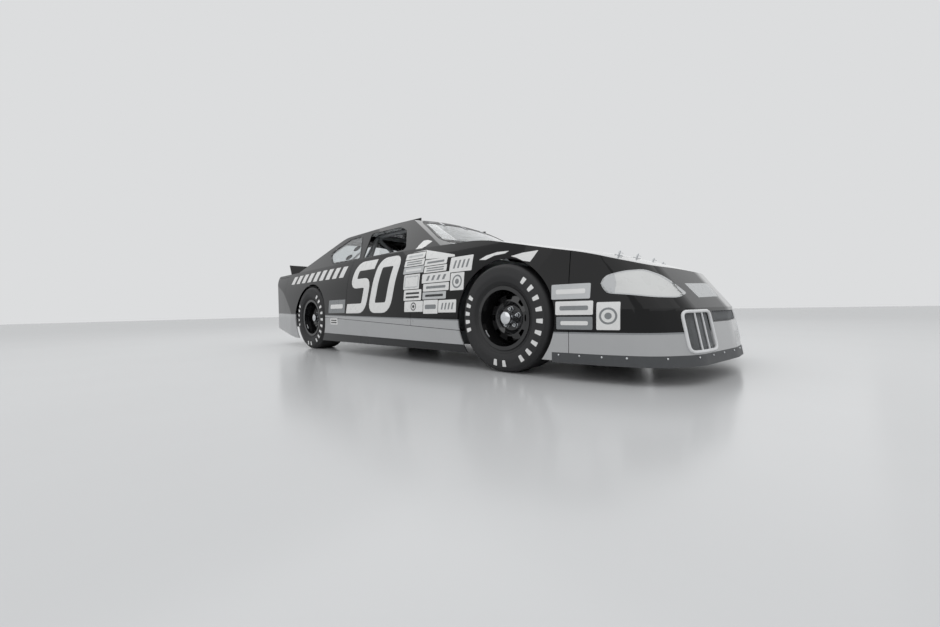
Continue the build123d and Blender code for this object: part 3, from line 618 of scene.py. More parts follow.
def sticker(a_low, a_high, z_low, z_high, mark, ink, finish=WHITE_VINYL, corner=8):
    """A blank sticker with a plain printed mark: bars, a ring, a border or slashes."""
    wide, tall = a_high - a_low, z_high - z_low
    small = min(wide, tall)
    margin = 0.12 * wide
    mid_a, mid_z = (a_low + a_high) / 2, (z_low + z_high) / 2
    prints = []
    if mark == "bar":
        bar = rectangle(a_low + margin, a_high - margin, mid_z - 0.16 * tall, mid_z + 0.16 * tall)
        prints = [rounded(bar, 0.12 * tall)]
    elif mark == "two bars":
        prints = [rectangle(a_low + margin, a_high - margin, z_low + (v - 0.08) * tall, z_low + (v + 0.1) * tall)
                  for v in (0.3, 0.66)]
    elif mark == "ring":
        circle = [(mid_a + 0.34 * small * cos(t), mid_z + 0.34 * small * sin(t)) for t in turns(24)]
        prints = [ribbon(circle, 0.09 * small, True),
                  [(mid_a + (a - mid_a) * 0.45, mid_z + (z - mid_z) * 0.45) for a, z in circle]]
    elif mark == "border":
        inset = 0.14 * small
        inner = rectangle(a_low + inset, a_high - inset, z_low + inset, z_high - inset)
        prints = [ribbon(rounded(inner, corner), 0.07 * small, True)]
    elif mark == "slashes":
        foot, top = z_low + 0.24 * tall, z_high - 0.24 * tall
        prints = [[(a, foot), (a + 0.08 * wide, foot), (a + 0.14 * wide, top), (a + 0.06 * wide, top)]
                  for a in (a_low + wide * (0.16 + 0.19 * k) for k in range(4))]
    outline = rounded(rectangle(a_low, a_high, z_low, z_high), corner)
    return [(outline, finish, 0)] + [(shape, ink, 1) for shape in prints]


# Behind the front wheel: rear end, front end, foot and top in mm, mark, ink, and the film where it isn't white
REAR_STICKERS = [
    (-1040, -836, 590, 712, "border", PALE_VINYL),
    (-1026, -802, 497, 584, "two bars", DARK_VINYL),
    (-1010, -774, 404, 490, "ring", DARK_VINYL),
    (-768, -600, 388, 494, "bar", GREY_VINYL),
    (-594, -404, 396, 490, "slashes", GREY_VINYL),
    (-784, -516, 500, 556, "bar", DARK_VINYL, PALE_VINYL),
    (-782, -490, 562, 622, "bar", GREY_VINYL),
    (-804, -484, 628, 702, "slashes", GREY_VINYL),
    (-476, -338, 556, 684, "ring", GREY_VINYL),
    (-498, -272, 690, 804, "slashes", GREY_VINYL),
    (-792, -532, 710, 760, "two bars", GREY_VINYL),
    (-800, -540, 766, 816, "bar", GREY_VINYL),
    (-1062, -802, 720, 776, "bar", WHITE_VINYL, PALE_VINYL),
    (-1066, -810, 782, 836, "two bars", GREY_VINYL),
    (-1068, -822, 842, 894, "bar", PALE_VINYL),
]
# Ahead of the front wheel
FRONT_STICKERS = [
    (366, 590, 462, 548, "bar", WHITE_VINYL, PALE_VINYL),
    (392, 608, 372, 450, "bar", GREY_VINYL),
    (398, 606, 290, 362, "bar", WHITE_VINYL, GREY_VINYL),
    (626, 744, 290, 440, "ring", GREY_VINYL),
]
# Beside the rear wheel, and a small one on the rocker panel
SIDE_STICKERS = [
    (-2330, -1990, 404, 540, "bar", WHITE_VINYL, GREY_VINYL),
    (-2290, -2140, 285, 350, "two bars", DARK_VINYL),
]
# Plain flashes: outlines of mm ahead and mm up
FLASHES = [
    [(62, 752), (150, 764), (266, 766), (238, 728), (214, 700), (160, 712), (110, 736)],
    [(-212, 756), (-150, 780), (-60, 794), (40, 790), (10, 776), (-80, 772), (-150, 750)],
    [(-1000, 928), (-985, 968), (-945, 1008), (-890, 1006), (-818, 984), (-868, 956), (-905, 925)],
    [(-1006, 905), (-824, 906), (-470, 826), (-464, 810), (-800, 824), (-820, 900)],
]
# The printed lamp: its outline in mm ahead and up, and its darker rear part
LAMP_OUTLINE = rounded([(640, 542), (664, 582), (740, 604), (812, 612), (880, 578), (940, 522), (982, 474),
                        (962, 458), (885, 462), (783, 478), (675, 490)], 22, steps=3)
LAMP_REAR = [(640, 542), (664, 582), (700, 593), (716, 540), (712, 486), (675, 490)]
# Rear end, front end, foot and top of the door's number, then the roof's ends and sides, and a painted reflection
# on the nose
DOOR_NUMBER, ROOF_NUMBER = (-1962, -1116, 400, 905), (-2150, -1450, -230, 230)
# Painted reflection: a pale strip on the nose's top, where a light shows in the black gloss
NOSE_PAINTED_REFLECTION = [(949, -420), (1000, -69), (1056, -100), (1013, -392)]
# Slanted blocks along the rear quarter: how many, the first one's place, their gap, width, lean, foot and top
QUARTER_BLOCKS, QUARTER_REAR, QUARTER_GAP, QUARTER_WIDE, QUARTER_LEAN = 9, -3400, 152, 92, 40
QUARTER_FOOT, QUARTER_TOP = 772, 868


def put_stickers():
    """Stickers, the door number and the flashes on both sides, the number on the roof and a painted reflection on
    the nose.
    """
    for side in SIDES:
        for name, table in (("rear", REAR_STICKERS), ("front", FRONT_STICKERS), ("side", SIDE_STICKERS)):
            laid(f"blank_stickers_{name}_{side}", [shape for row in table for shape in sticker(*row)], side)
        laid(f"door_number_{side}", number_shapes(*DOOR_NUMBER, flip=side == "left"), side, step=30)
        laid(f"side_flashes_{side}", [(outline, WHITE_VINYL, 0) for outline in FLASHES], side)
        blocks = []
        for k in range(QUARTER_BLOCKS):
            a = QUARTER_REAR + QUARTER_GAP * k
            # the sixth to the ninth are equally tall
            top = QUARTER_TOP + 4 * min(k, 5)
            blocks.append(([(a, QUARTER_FOOT), (a + QUARTER_WIDE, QUARTER_FOOT),
                            (a + QUARTER_WIDE + QUARTER_LEAN, top), (a + QUARTER_LEAN, top)], WHITE_VINYL, 0))
        laid(f"quarter_blocks_{side}", blocks, side)
        lamp = [(LAMP_OUTLINE, LAMP_VINYL, 0), (LAMP_REAR, PALE_VINYL, 1),
                (ribbon(LAMP_OUTLINE, 7, True), PALE_VINYL, 1)]
        laid(f"lamp_sticker_{side}", lamp, side, step=9, high=1.5, thick=1.2)
    laid("roof_number", number_shapes(*ROOF_NUMBER, stroke=84), "top", step=30)
    # pale grey film on the nose's top is a painted reflection of a light in the black gloss
    laid("nose_painted_reflection", [(NOSE_PAINTED_REFLECTION, PALE_VINYL, 0)], "top", step=12)


# Grille ---

def nose_point(y, z, below, above, out=0):
    """The nose's face across an opening, straight from the skin below it to the skin above, or mm in front."""
    low, _ = on_skin("front", y, below)
    high, _ = on_skin("front", y, above)
    return low.lerp(high, (z - below) / (above - below)) + Vector((out * MM, 0, 0))


# Openings in the nose: right end, left end, foot, top, and the skin's places just below and above
GRILLES = [(-655, -400, 176, 378, 168, 386), (400, 655, 176, 378, 168, 386), (-345, 345, 322, 380, 314, 386)]
# Screen: distance between wires along the opening, their radius, the length of their straight pieces, the
# shortest wire, and how far behind the face the wires and the backing's two faces are
WIRE_GAP, WIRE_RADIUS, WIRE_PIECE, WIRE_SHORTEST = 7.5, 1.1, 45, 3
SCREEN_DEPTH, BACKING_FRONT, BACKING_BACK = 9, 43, 45
# Surround of the tall openings: distance outside them, corner, how proud of the face, radius; the bars' radius
SURROUND_OUT, SURROUND_CORNER, SURROUND_PROUD, SURROUND_RADIUS, BAR_RADIUS = (5, 4), 34, 3, 9, 5


def stretch_wires(screen, right, left, foot, top, below, above):
    """Wires both ways across an opening. Each climbs one mm for each mm across, cut at the opening's edges."""
    tall = top - foot
    for way in (1, -1):
        start = right - tall
        while start < left:
            first, last = max(start, right), min(start + tall, left)
            if last - first > WIRE_SHORTEST:
                steps = max(1, round((last - first) / WIRE_PIECE))
                across = [first + (last - first) * k / steps for k in range(steps + 1)]
                tube(screen, [nose_point(y, foot + y - start if way == 1 else top - (y - start), below, above,
                                         -SCREEN_DEPTH) for y in across], WIRE_RADIUS, 4)
            start += WIRE_GAP


def surround(trim, right, left, foot, top, below, above):
    """A light bar round an opening and two upright bars in it."""
    aside, over = SURROUND_OUT
    path = rounded(rectangle(right - aside, left + aside, foot - over, top + over), SURROUND_CORNER)
    loop = []
    for one, two in zip(path, path[1:] + path[:1]):
        pieces = max(1, round((Vector(two) - Vector(one)).length / 40))
        loop += [Vector(one).lerp(Vector(two), k / pieces) for k in range(pieces)]
    tube(trim, [nose_point(p.x, p.y, below, above, SURROUND_PROUD) for p in loop], SURROUND_RADIUS, 10, closed=True)
    for share in (1 / 3, 2 / 3):
        y = right + (left - right) * share
        tube(trim, [nose_point(y, foot - 2 + (top - foot + 4) * k / 6, below, above) for k in range(7)], BAR_RADIUS)


def make_grilles():
    """Fine wire screens in the nose's openings, with light surrounds and dividing bars on the outer two."""
    screen, trim, backing = bmesh.new(), bmesh.new(), bmesh.new()
    for opening in GRILLES:
        right, left, foot, top, below, above = opening
        stretch_wires(screen, *opening)
        if top - foot > 100:
            surround(trim, *opening)
        corners = ((foot - 10, BACKING_FRONT), (top + 10, BACKING_FRONT), (top + 10, BACKING_BACK),
                   (foot - 10, BACKING_BACK))
        bridged(backing, [[backing.verts.new(nose_point(right - 12 + (left - right + 24) * k / 6, z, below, above,
                                                        -depth)) for z, depth in corners] for k in range(7)])
    finished("grille_backing", backing, BLACK_PLASTIC, smooth=False)
    wires = finished("grille_wires", screen, WIRE_PAINT, slot="bare_metal", smooth=False)
    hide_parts("grille_screen")
    finished("grille_surrounds", trim, WHITE_ENAMEL)


# Wheels and tyres ---

# Lug nuts: their circle's radius, the face they stand on, and the rows of a nut's cone, hex and stud's end
NUT_CIRCLE, PAD_FACE = 60, 25
NUT_ROWS = [(PAD_FACE + along, radius) for along, radius in
            ((0, 18), (3, 18), (3, 15.5), (20, 15.5), (23, 13), (23, 7.5), (34, 7.5), (36, 6))]
CAP_ROWS = [(66, 41), (70, 43), (92, 43), (98, 41), (102, 34), (104.5, 20), (105.5, 0)]
# Valve: its place from the wheel's middle in mm and its rows; balance weight: radius, distance out, first angle
VALVE_PLACE, VALVE_ROWS = (139, 30, 40), [(-4, 7), (4, 7), (6, 4), (24, 4), (24, 5.5), (34, 5.5), (36, 4)]
WEIGHT_RADIUS, WEIGHT_OUT, WEIGHT_START = 181, 108, 3.62


def dress_wheel(end, side):
    """Lug nuts, a hub cap, a valve and a balance weight, on the wheel's own body."""
    hand = -1 if side == "right" else 1
    centre = at(0 if end == "front" else REAR, hand * WHEEL_Y, AXLE_Z / MM)
    out = Vector((0, hand, 0))
    body = f"wheel_{end}_{side}"
    spots = [centre + Vector((cos(t), 0, sin(t))) * NUT_CIRCLE * MM
             for t in (2 * pi * (k + 0.25) / 5 for k in range(5))]
    turned_piece(f"lug_nuts_{end}_{side}", NUT_ROWS, spots, out, 6, ZINC_STEEL, body, "hub_steel", smooth=False)
    turned_piece(f"hub_cap_{end}_{side}", CAP_ROWS, [centre], out, 32, POLISHED_ALUMINIUM, body, "hub_steel")
    ahead, proud, up = VALVE_PLACE
    foot = centre + Vector((ahead * MM, 0, up * MM)) + out * proud * MM
    turned_piece(f"tyre_valve_{end}_{side}", VALVE_ROWS, [foot], out, 12, RUBBER_TRIM, body)
    weight = bmesh.new()
    tube(weight, [centre + out * WEIGHT_OUT * MM + Vector((cos(t), 0, sin(t))) * WEIGHT_RADIUS * MM
                  for t in (WEIGHT_START + 0.05 * k for k in range(7))], 4, 6)
    finished(f"wheel_weight_{end}_{side}", weight, BARE_SHEET, body=body)


# Raised blank blocks on the sidewall: first angle, last angle in degrees from the front, and how many
SIDEWALL_BLOCKS = [(52, -58, 9), (196, 152, 5), (-86, -100, 2)]
# A block's inner and outer radius and half its width at each; the radii of the moulded rings
BLOCK_IN, BLOCK_OUT, BLOCK_HALF_IN, BLOCK_HALF_OUT = 272, 314, 11, 15
RING_RADII = (229, 233, 326, 331)


def dress_tyre(end, side):
    """White blank blocks and thin moulded rings on the outer sidewall."""
    skin = skin_of(f"tyre_{end}_{side}")
    body = f"wheel_{end}_{side}"
    middle = 0 if end == "front" else REAR
    hub_z = AXLE_Z / MM
    shapes = []
    for first, last, count in SIDEWALL_BLOCKS:
        for k in range(count):
            angle = radians(first + (last - first) * k / max(1, count - 1))
            out = Vector((cos(angle), sin(angle)))
            along = Vector((-out.y, out.x))
            corners = [out * BLOCK_IN - along * BLOCK_HALF_IN, out * BLOCK_IN + along * BLOCK_HALF_IN,
                       out * BLOCK_OUT + along * BLOCK_HALF_OUT, out * BLOCK_OUT - along * BLOCK_HALF_OUT]
            shapes.append((rounded([(middle + c.x, hub_z + c.y) for c in corners], 4, steps=2), WHITE_VINYL, 0))
    laid(f"sidewall_blocks_{end}_{side}", shapes, side, body, skin, 18, 1.2, 1.5)
    rings = bmesh.new()
    for radius in RING_RADII:
        loop = [on_skin(side, middle + radius * cos(t), hub_z + radius * sin(t), skin)[0]
                for t in turns(72)]
        tube(rings, loop, 1.2, 4, closed=True)
    finished(f"sidewall_rings_{end}_{side}", rings, TYRE_RUBBER, body=body, slot="tyre_rubber")


put_stickers()
make_grilles()
for end in ("front", "rear"):
    for side in SIDES:
        dress_wheel(end, side)
        dress_tyre(end, side)


# Window trim, pins, bolts and other small parts of the body ---

WINDSHIELD = [(-684, 996), (684, 996), (515, 1250), (0, 1276), (-515, 1250)]
REAR_WINDOW = [(-642, 1004), (642, 1004), (505, 1236), (0, 1260), (-505, 1236)]
QUARTER_WINDOW = [(REAR + a, z) for a, z in ((880, 955), (660, 1238), (420, 1234), (94, 1106), (301, 960))]
# The windshield's strip lies on the pane and what is beside it, so that the hood can rise past it
PANE_SKIN = skin_of("windshield", "roof_and_pillars", "cowl_panel")
REAR_SKIN = skin_of("rear_window", "roof_and_pillars", "rear_shelf")
# name, outline, how it is looked at, strip width, what it lies on
WINDOW_TRIMS = [("windshield", WINDSHIELD, "front", 30, PANE_SKIN),
                ("rear_window", REAR_WINDOW, "back", 26, REAR_SKIN),
                ("quarter_window_right", QUARTER_WINDOW, "right", 16, BODY_SKIN),
                ("quarter_window_left", QUARTER_WINDOW, "left", 16, BODY_SKIN)]
# Straps over the rear window and clips over the windshield: places to the left, foot, top, how much they draw in
STRAPS, STRAP_FOOT, STRAP_TOP, STRAP_IN = (-235, 235), 992, 1250, 0.82
CLIPS, CLIP_FOOT, CLIP_TOP, CLIP_IN = (-300, 0, 300), 1236, 1282, 0.98


def along_path(path, gap):
    """Evenly spaced places along a closed drawn path."""
    places, left = [], 0.0
    for one, two in zip(path, path[1:] + path[:1]):
        one, two = Vector(one), Vector(two)
        length = (two - one).length
        while left < length:
            places.append(tuple(one.lerp(two, left / length)))
            left += gap
        left -= length
    return places


def trim_windows():
    """Black strips over the panes' edges with small bolts, straps over the rear window, clips at the windshield."""
    for name, outline, side, width, skin in WINDOW_TRIMS:
        path = rounded(outline, 45)
        laid(f"{name}_trim", [(ribbon(path, width, True), RUBBER_TRIM, 0)], side, skin=skin, high=1.6, thick=2.4)
        headed(f"{name}_bolts", side, along_path(path, 95), 4.5, 4.5, ZINC_STEEL, skin)
    straps = [(ribbon([(y, STRAP_FOOT), (y * STRAP_IN, STRAP_TOP)], 34), BARE_SHEET, 0) for y in STRAPS]
    laid("rear_window_straps", straps, "back", high=3, thick=3)
    clips = [(ribbon([(y, CLIP_FOOT), (y * CLIP_IN, CLIP_TOP)], 30), BARE_SHEET, 0) for y in CLIPS]
    laid("windshield_clips", clips, "front", high=3.2, thick=2.5)


# Lid pins: how far ahead and how far to each side; rows of the scuff plate and the post; the clip's height
HOOD_PINS, DECK_PINS = [(590, 450), (604, 170)], [(-3840, 520)]
SCUFF_ROWS, POST_ROWS = [(-0.5, 26), (2.2, 26), (3, 24), (3, 8)], [(-6, 6), (26, 6), (30, 5), (33, 2)]
CLIP_HEIGHT = 17


def make_pin(form, spot, normal):
    """A lid pin: scuff plate, post and the ring of its clip."""
    turned(form, SCUFF_ROWS, spot, normal, 24)
    turned(form, POST_ROWS, spot, normal, 12)
    middle = spot + normal * CLIP_HEIGHT * MM
    across = normal.orthogonal().normalized()
    other = normal.cross(across)
    ring = [middle + (across * (cos(t) * 15 + 9) + other * sin(t) * 11) * MM for t in turns(20)]
    tube(form, ring, 1.4, 6, closed=True)


# Dam bolts: height, places along each side and across the front
DAM_BOLT_Z, DAM_BOLTS_SIDE, DAM_BOLTS_FRONT = 143, range(410, 777, 122), range(-760, 761, 152)
# Rivets along the skirt: places, and the height of their row at the band's front end and its fall per mm
SKIRT_RIVETS, SKIRT_RIVET_Z, SKIRT_RIVET_FALL = range(-2380, -400, 122), 252, 0.046
# Rivets up both sides of the seam behind the front wheel
SEAM_RIVETS = [(a, z) for a in (-963, -897) for z in range(330, 880, 90)]
FILLER, AERIAL, AERIAL_ROWS = (-3262, 668), (-1980, 250), [(-1, 16), (3, 16), (7, 10), (9, 0)]
FILLER_ROWS = [(-2, 84), (3, 84), (5, 80), (5, 62), (2, 60), (2, 40), (9, 38), (12, 30), (12, 0)]
# Oval air ducts in the quarter windows: middles, half length, lean, half height
DUCTS, DUCT_LONG, DUCT_LEAN, DUCT_TALL = ((-2108, 1092), (-2180, 1000)), 52, 10, 24


def add_small_body_parts():
    """Hood and deck pins, dam bolts, rivets along skirts and seams, filler cap, aerial and window ducts."""
    for name, table, body in (("hood_pins", HOOD_PINS, "hood"), ("deck_pins", DECK_PINS, "deck_lid")):
        made = bmesh.new()
        for a, y in table:
            for hand in (-1, 1):
                make_pin(made, *on_skin("top", a, hand * y))
        finished(name, made, ZINC_STEEL, body=body)
    for side in SIDES:
        headed(f"air_dam_bolts_{side}", side, [(a, DAM_BOLT_Z) for a in DAM_BOLTS_SIDE], 6, 5, ZINC_STEEL, DAM_SKIN)
        spots = [(a, SKIRT_RIVET_FALL * -(a - BAND_FRONT) + SKIRT_RIVET_Z) for a in SKIRT_RIVETS]
        headed(f"rocker_rivets_{side}", side, spots, 4, 1.4, BARE_SHEET)
        headed(f"seam_rivets_{side}", side, SEAM_RIVETS, 3.5, 1.2, BLACK_ENAMEL)
    headed("air_dam_bolts_front", "front", [(y, DAM_BOLT_Z) for y in DAM_BOLTS_FRONT], 6, 5, ZINC_STEEL, DAM_SKIN)
    spot, normal = on_skin("left", *FILLER)
    turned_piece("fuel_filler", FILLER_ROWS, [spot], normal, 40, BARE_SHEET)
    spot, normal = on_skin("top", *AERIAL)
    turned_piece("roof_aerial", AERIAL_ROWS, [spot], normal, 20, RUBBER_TRIM)
    for side in SIDES:
        ovals = []
        for a, z in DUCTS:
            loop = [(a + DUCT_LONG * cos(t) + DUCT_LEAN * sin(t), z + DUCT_TALL * sin(t))
                    for t in turns(24)]
            # the dark oval film is painted shade: it stands for the dark inside of each duct's mouth, which is not
            # cut open
            ovals += [(loop, DARK_VINYL, 0), (ribbon(loop, 8, True), RUBBER_TRIM, 2)]
        laid(f"window_ducts_{side}", ovals, side, high=1.0, thick=0.8)


# Tail: inner and outer end, foot and top of a lamp panel; the blank plate; the strip on the bumper
TAIL_LAMP, PLATE, BUMPER_STRIP = (300, 820, 660, 815), (-215, 215, 640, 820), (-800, 800, 500, 545)
# Spoiler: places of its stays and where their feet stand, its rivets and where their row is
STAYS, STAY_FOOT, SPOILER_RIVETS, SPOILER_ROW = (-600, -200, 200, 600), -3850, range(-690, 691, 115), -3722


def dress_tail():
    """Plain lamp panels on the tail, a bumper strip and a blank plate, and the spoiler's rivets and stays."""
    shapes = []
    inner, outer, foot, top = TAIL_LAMP
    for low, high in ((-outer, -inner), (inner, outer)):
        path = rounded(rectangle(low, high, foot, top), 26)
        shapes += [(path, RED_VINYL, 0), (ribbon(path, 10, True), PALE_VINYL, 1)]
        shapes += [(ribbon([(y, foot + 5), (y, top - 5)], 6), DARK_VINYL, 1)
                   for y in (low + (high - low) * share for share in (0.33, 0.66))]
    shapes.append((rounded(rectangle(*PLATE), 18), PALE_VINYL, 0))
    laid("tail_panels", shapes, "back", step=24)
    laid("bumper_strip", [(rounded(rectangle(*BUMPER_STRIP), 18), RUBBER_TRIM, 0)], "back", step=30, high=0.9,
         thick=1.4)
    low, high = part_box("spoiler")
    stays = bmesh.new()
    for y in STAYS:
        foot, _ = on_skin("top", STAY_FOOT, y)
        tube(stays, [foot, Vector((low.x + 0.012, y * MM, high.z - 0.04))], 4)
    finished("spoiler_stays", stays, ZINC_STEEL, body="deck_lid")
    headed("spoiler_rivets", "top", [(SPOILER_ROW, y) for y in SPOILER_RIVETS], 5, 3.5, ZINC_STEEL, body="deck_lid")


trim_windows()
add_small_body_parts()
dress_tail()


# Cockpit ---

UP, REARWARD = Vector((0, 0, 1)), Vector((-1, 0, 0))
SEAT_LOW, SEAT_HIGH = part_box("driver_seat")
SEAT_Y = (SEAT_LOW.y + SEAT_HIGH.y) / 2 / MM
# Seat cover: where it starts, the pitch, width and depth of its sewn channels, the width they cover, its padding
PADDED_FOOT, CHANNEL_GAP, CHANNEL_WIDE, CHANNEL_DEEP, CHANNELS_HALF, PADDING_THICK = 262, 62, 13, 7, 172, 3
# Seat feet: places ahead, how far to each side of the seat's middle, foot and top
FEET_AHEAD, FEET_ASIDE, FEET_FOOT, FEET_TOP = (-1880, -1540), 130, 246, 276
# What turns the seat's own form into a soft one
SOFTENING = [("REMESH", {"mode": "VOXEL", "voxel_size": 0.007}),
             ("LAPLACIANSMOOTH", {"iterations": 12, "lambda_factor": 1.4}),
             ("SMOOTH", {"iterations": 6, "factor": 0.5})]


def make_seat():
    """Padded seat cover: the seat's own form swollen between its edges, with sewn channels down its face."""
    cover = put_in("seat_cover", frame["nodes"]["driver_seat"].data.copy())
    work = bmesh.new()
    work.from_mesh(cover.data)
    bmesh.ops.remove_doubles(work, verts=work.verts, dist=1e-5)
    cut = bmesh.ops.bisect_plane(work, geom=work.verts[:] + work.edges[:] + work.faces[:], clear_inner=True,
                                 plane_co=UP * PADDED_FOOT * MM, plane_no=UP)
    bmesh.ops.holes_fill(work, edges=[e for e in cut["geom_cut"] if isinstance(e, bmesh.types.BMEdge)])
    work.to_mesh(cover.data)
    work.free()
    for kind, settings in SOFTENING:
        step = cover.modifiers.new(kind, kind)
        for key, value in settings.items():
            setattr(step, key, value)
    shape = bpy.data.meshes.new_from_object(cover.evaluated_get(bpy.context.evaluated_depsgraph_get()))
    cover.modifiers.clear()
    cover.data = shape
    normals = [v.normal.copy() for v in shape.vertices]
    for vert, normal in zip(shape.vertices, normals):
        # the sewn channels run down the back's face and along the base
        across = vert.co.y / MM - SEAT_Y
        if normal.x + normal.z * 0.9 > 0.3 and abs(across) < CHANNELS_HALF:
            off = abs((across + CHANNEL_GAP / 2) % CHANNEL_GAP - CHANNEL_GAP / 2)
            vert.co += normal * (PADDING_THICK - CHANNEL_DEEP * exp(-(off / CHANNEL_WIDE) ** 2)) * MM
    shape.materials.clear()
    shape.materials.append(SEAT_CLOTH)
    shape.shade_smooth()
    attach(cover, CAR)
    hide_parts("driver_seat")
    feet = bmesh.new()
    for a in FEET_AHEAD:
        for y in (SEAT_Y - FEET_ASIDE, SEAT_Y + FEET_ASIDE):
            tube(feet, [at(a, y, FEET_FOOT), at(a, y, FEET_TOP)], 16, 12)
            turned(feet, [(0, 30), (4, 30), (5, 28)], at(a, y, FEET_FOOT - 1), UP, 20)
    finished("seat_feet", feet, BARE_SHEET)
    return BVHTree.FromPolygons([v.co.copy() for v in shape.vertices], [list(f.vertices) for f in shape.polygons])


# Belts, from their outer end to the buckle: to the side of the seat's middle and up, then ahead and to the side
SHOULDER_BELT, SHOULDER_WIDE = [(75, 690), (62, 520), (30, 372)], 72
LAP_BELT, LAP_WIDE = [(-1800, 132), (-1740, 90), (-1722, 14)], 56
BUCKLE, BUCKLE_ROWS = -1722, [(5, 34), (12, 34), (16, 30), (16, 14), (20, 12), (20, 0)]


def make_belts(skin):
    """Two shoulder belts down the seat's back, two lap belts over its base, and the buckle where they meet."""
    back = [(ribbon([(SEAT_Y + hand * y, z) for y, z in SHOULDER_BELT], SHOULDER_WIDE), WEBBING, 0)
            for hand in (-1, 1)]
    laid("shoulder_belts", back, "front", skin=skin, step=16, high=5, thick=3)
    lap = [(ribbon([(a, SEAT_Y + hand * y) for a, y in LAP_BELT], LAP_WIDE), WEBBING, 0) for hand in (-1, 1)]
    laid("lap_belts", lap, "top", skin=skin, step=16, high=6, thick=3)
    spot, normal = on_skin("top", BUCKLE, SEAT_Y, skin)
    turned_piece("belt_buckle", BUCKLE_ROWS, [spot], normal, 28, BARE_SHEET)


# Steering column's lean, foot and length, the wheel's radius, its grip's and the hub pad's rows
COLUMN_LEAN = radians(16)
COLUMN = Vector((-cos(COLUMN_LEAN), 0, sin(COLUMN_LEAN)))
COLUMN_FOOT, COLUMN_LENGTH, WHEEL_RADIUS, GRIP_RADIUS = at(-1000, SEAT_Y, 790), 400, 178, 15.5
HUB_PAD_ROWS = [(0, 48), (12, 52), (24, 50), (32, 38), (35, 18), (35.5, 0)]


def dress_steering_wheel():
    """Wrapped grip with its stitching, and a padded hub, on the steering wheel's body."""
    across = Vector((0, 1, 0))
    other = COLUMN.cross(across)
    middle = COLUMN_FOOT + COLUMN * COLUMN_LENGTH * MM
    grip, stitches = bmesh.new(), bmesh.new()
    ways = [across * cos(t) + other * sin(t) for t in turns(96)]
    tube(grip, [middle + way * WHEEL_RADIUS * MM for way in ways], GRIP_RADIUS, 14, closed=True)
    for t, way in zip(turns(96), ways):
        spot = middle + way * (WHEEL_RADIUS - 15) * MM
        half = (across * -sin(t) + other * cos(t)) * 3 * MM + COLUMN * 4 * MM
        tube(stitches, [spot - half, spot + half], 1.2, 5)
    finished("steering_grip", grip, RUBBER_TRIM, body="steering_wheel")
    finished("steering_stitching", stitches, GREY_VINYL, body="steering_wheel")
    turned_piece("steering_pad", HUB_PAD_ROWS, [middle - COLUMN * 6 * MM], COLUMN, 32, PADDING, "steering_wheel")


# Gauges on the dashboard: how far to the left of the seat's middle, height, radius
GAUGES = [(0, 842, 46), (-110, 850, 27), (-110, 790, 27), (-180, 850, 27), (-180, 790, 27), (110, 850, 27),
          (110, 790, 27), (175, 845, 27)]
# Angles in degrees of a dial's marks and of its needle
DIAL_MARKS, NEEDLE = [225 - 33.75 * k for k in range(9)], 130
# Switches: how many, the first one's place from the seat's middle, their gap, height and rows
SWITCHES, SWITCH_FIRST, SWITCH_GAP, SWITCH_Z = 6, -300, 34, 830
SWITCH_ROWS = [(-1, 9), (3, 9), (3, 5), (6, 4.5), (20, 3), (25, 4), (27, 0)]


def dial_line(marks, middle, degrees, lift, first, last, radius):
    """A thin bar on a dial from one distance off its middle to another."""
    t = radians(degrees)
    way = Vector((0, -cos(t), sin(t)))
    tube(marks, [middle + REARWARD * lift * MM + way * reach * MM for reach in (first, last)], radius, 4)


def dress_dashboard():
    """Round gauges with plain dials and a row of switches on the dashboard."""
    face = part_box("dashboard")[0].x
    cases, dials, marks = bmesh.new(), bmesh.new(), bmesh.new()
    for y, z, radius in GAUGES:
        middle = Vector((face, (SEAT_Y + y) * MM, z * MM))
        turned(cases, [(-2, radius), (9, radius), (11, radius - 2), (11, radius - 5), (5, radius - 6)],
               middle, REARWARD, 32)
        turned(dials, [(4, radius - 5), (6, radius - 5)], middle, REARWARD, 32)
        for degrees in DIAL_MARKS:
            dial_line(marks, middle, degrees, 6.3, radius - 12, radius - 7, 0.9)
        dial_line(marks, middle, NEEDLE, 7.5, -5, radius - 12, 1.1)
    finished("gauge_cases", cases, BARE_SHEET)
    finished("gauge_dials", dials, WHITE_VINYL)
    finished("gauge_marks", marks, DARK_VINYL)
    spots = [Vector((face, (SEAT_Y + SWITCH_FIRST - SWITCH_GAP * k) * MM, SWITCH_Z * MM)) for k in range(SWITCHES)]
    turned_piece("dash_switches", SWITCH_ROWS, spots, REARWARD + UP * 0.3, 12, ZINC_STEEL)


# Shift lever: its foot, the bend and top of its rod in metres from there, the rows of its boot and its knob
LEVER_FOOT, LEVER_ROD = at(-1240, 40, 405), [Vector((0.02, 0.02, 0.16)), Vector((-0.02, 0.07, 0.31))]
BOOT_ROWS = [(0, 62), (14, 54), (30, 30), (52, 15), (60, 10)]
KNOB_ROWS = [(-22, 8), (-12, 20), (4, 26), (18, 20), (25, 0)]


def make_shift_lever():
    """Shift lever with its rubber boot and round knob, on the tunnel."""
    lever = bmesh.new()
    turned(lever, BOOT_ROWS, LEVER_FOOT, UP, 20)
    tube(lever, [LEVER_FOOT, *(LEVER_FOOT + way for way in LEVER_ROD)], 7, 10)
    turned(lever, KNOB_ROWS, LEVER_FOOT + Vector((-0.02, 0.07, 0.32)), UP, 20)
    finished("shift_lever", lever, BLACK_PLASTIC)


# Inside mirror: its middle, and in metres half its height and its depth
MIRROR_MIDDLE, MIRROR_HALF, MIRROR_DEEP = at(-1345, SEAT_Y - 120, 1150), 0.034, 0.012


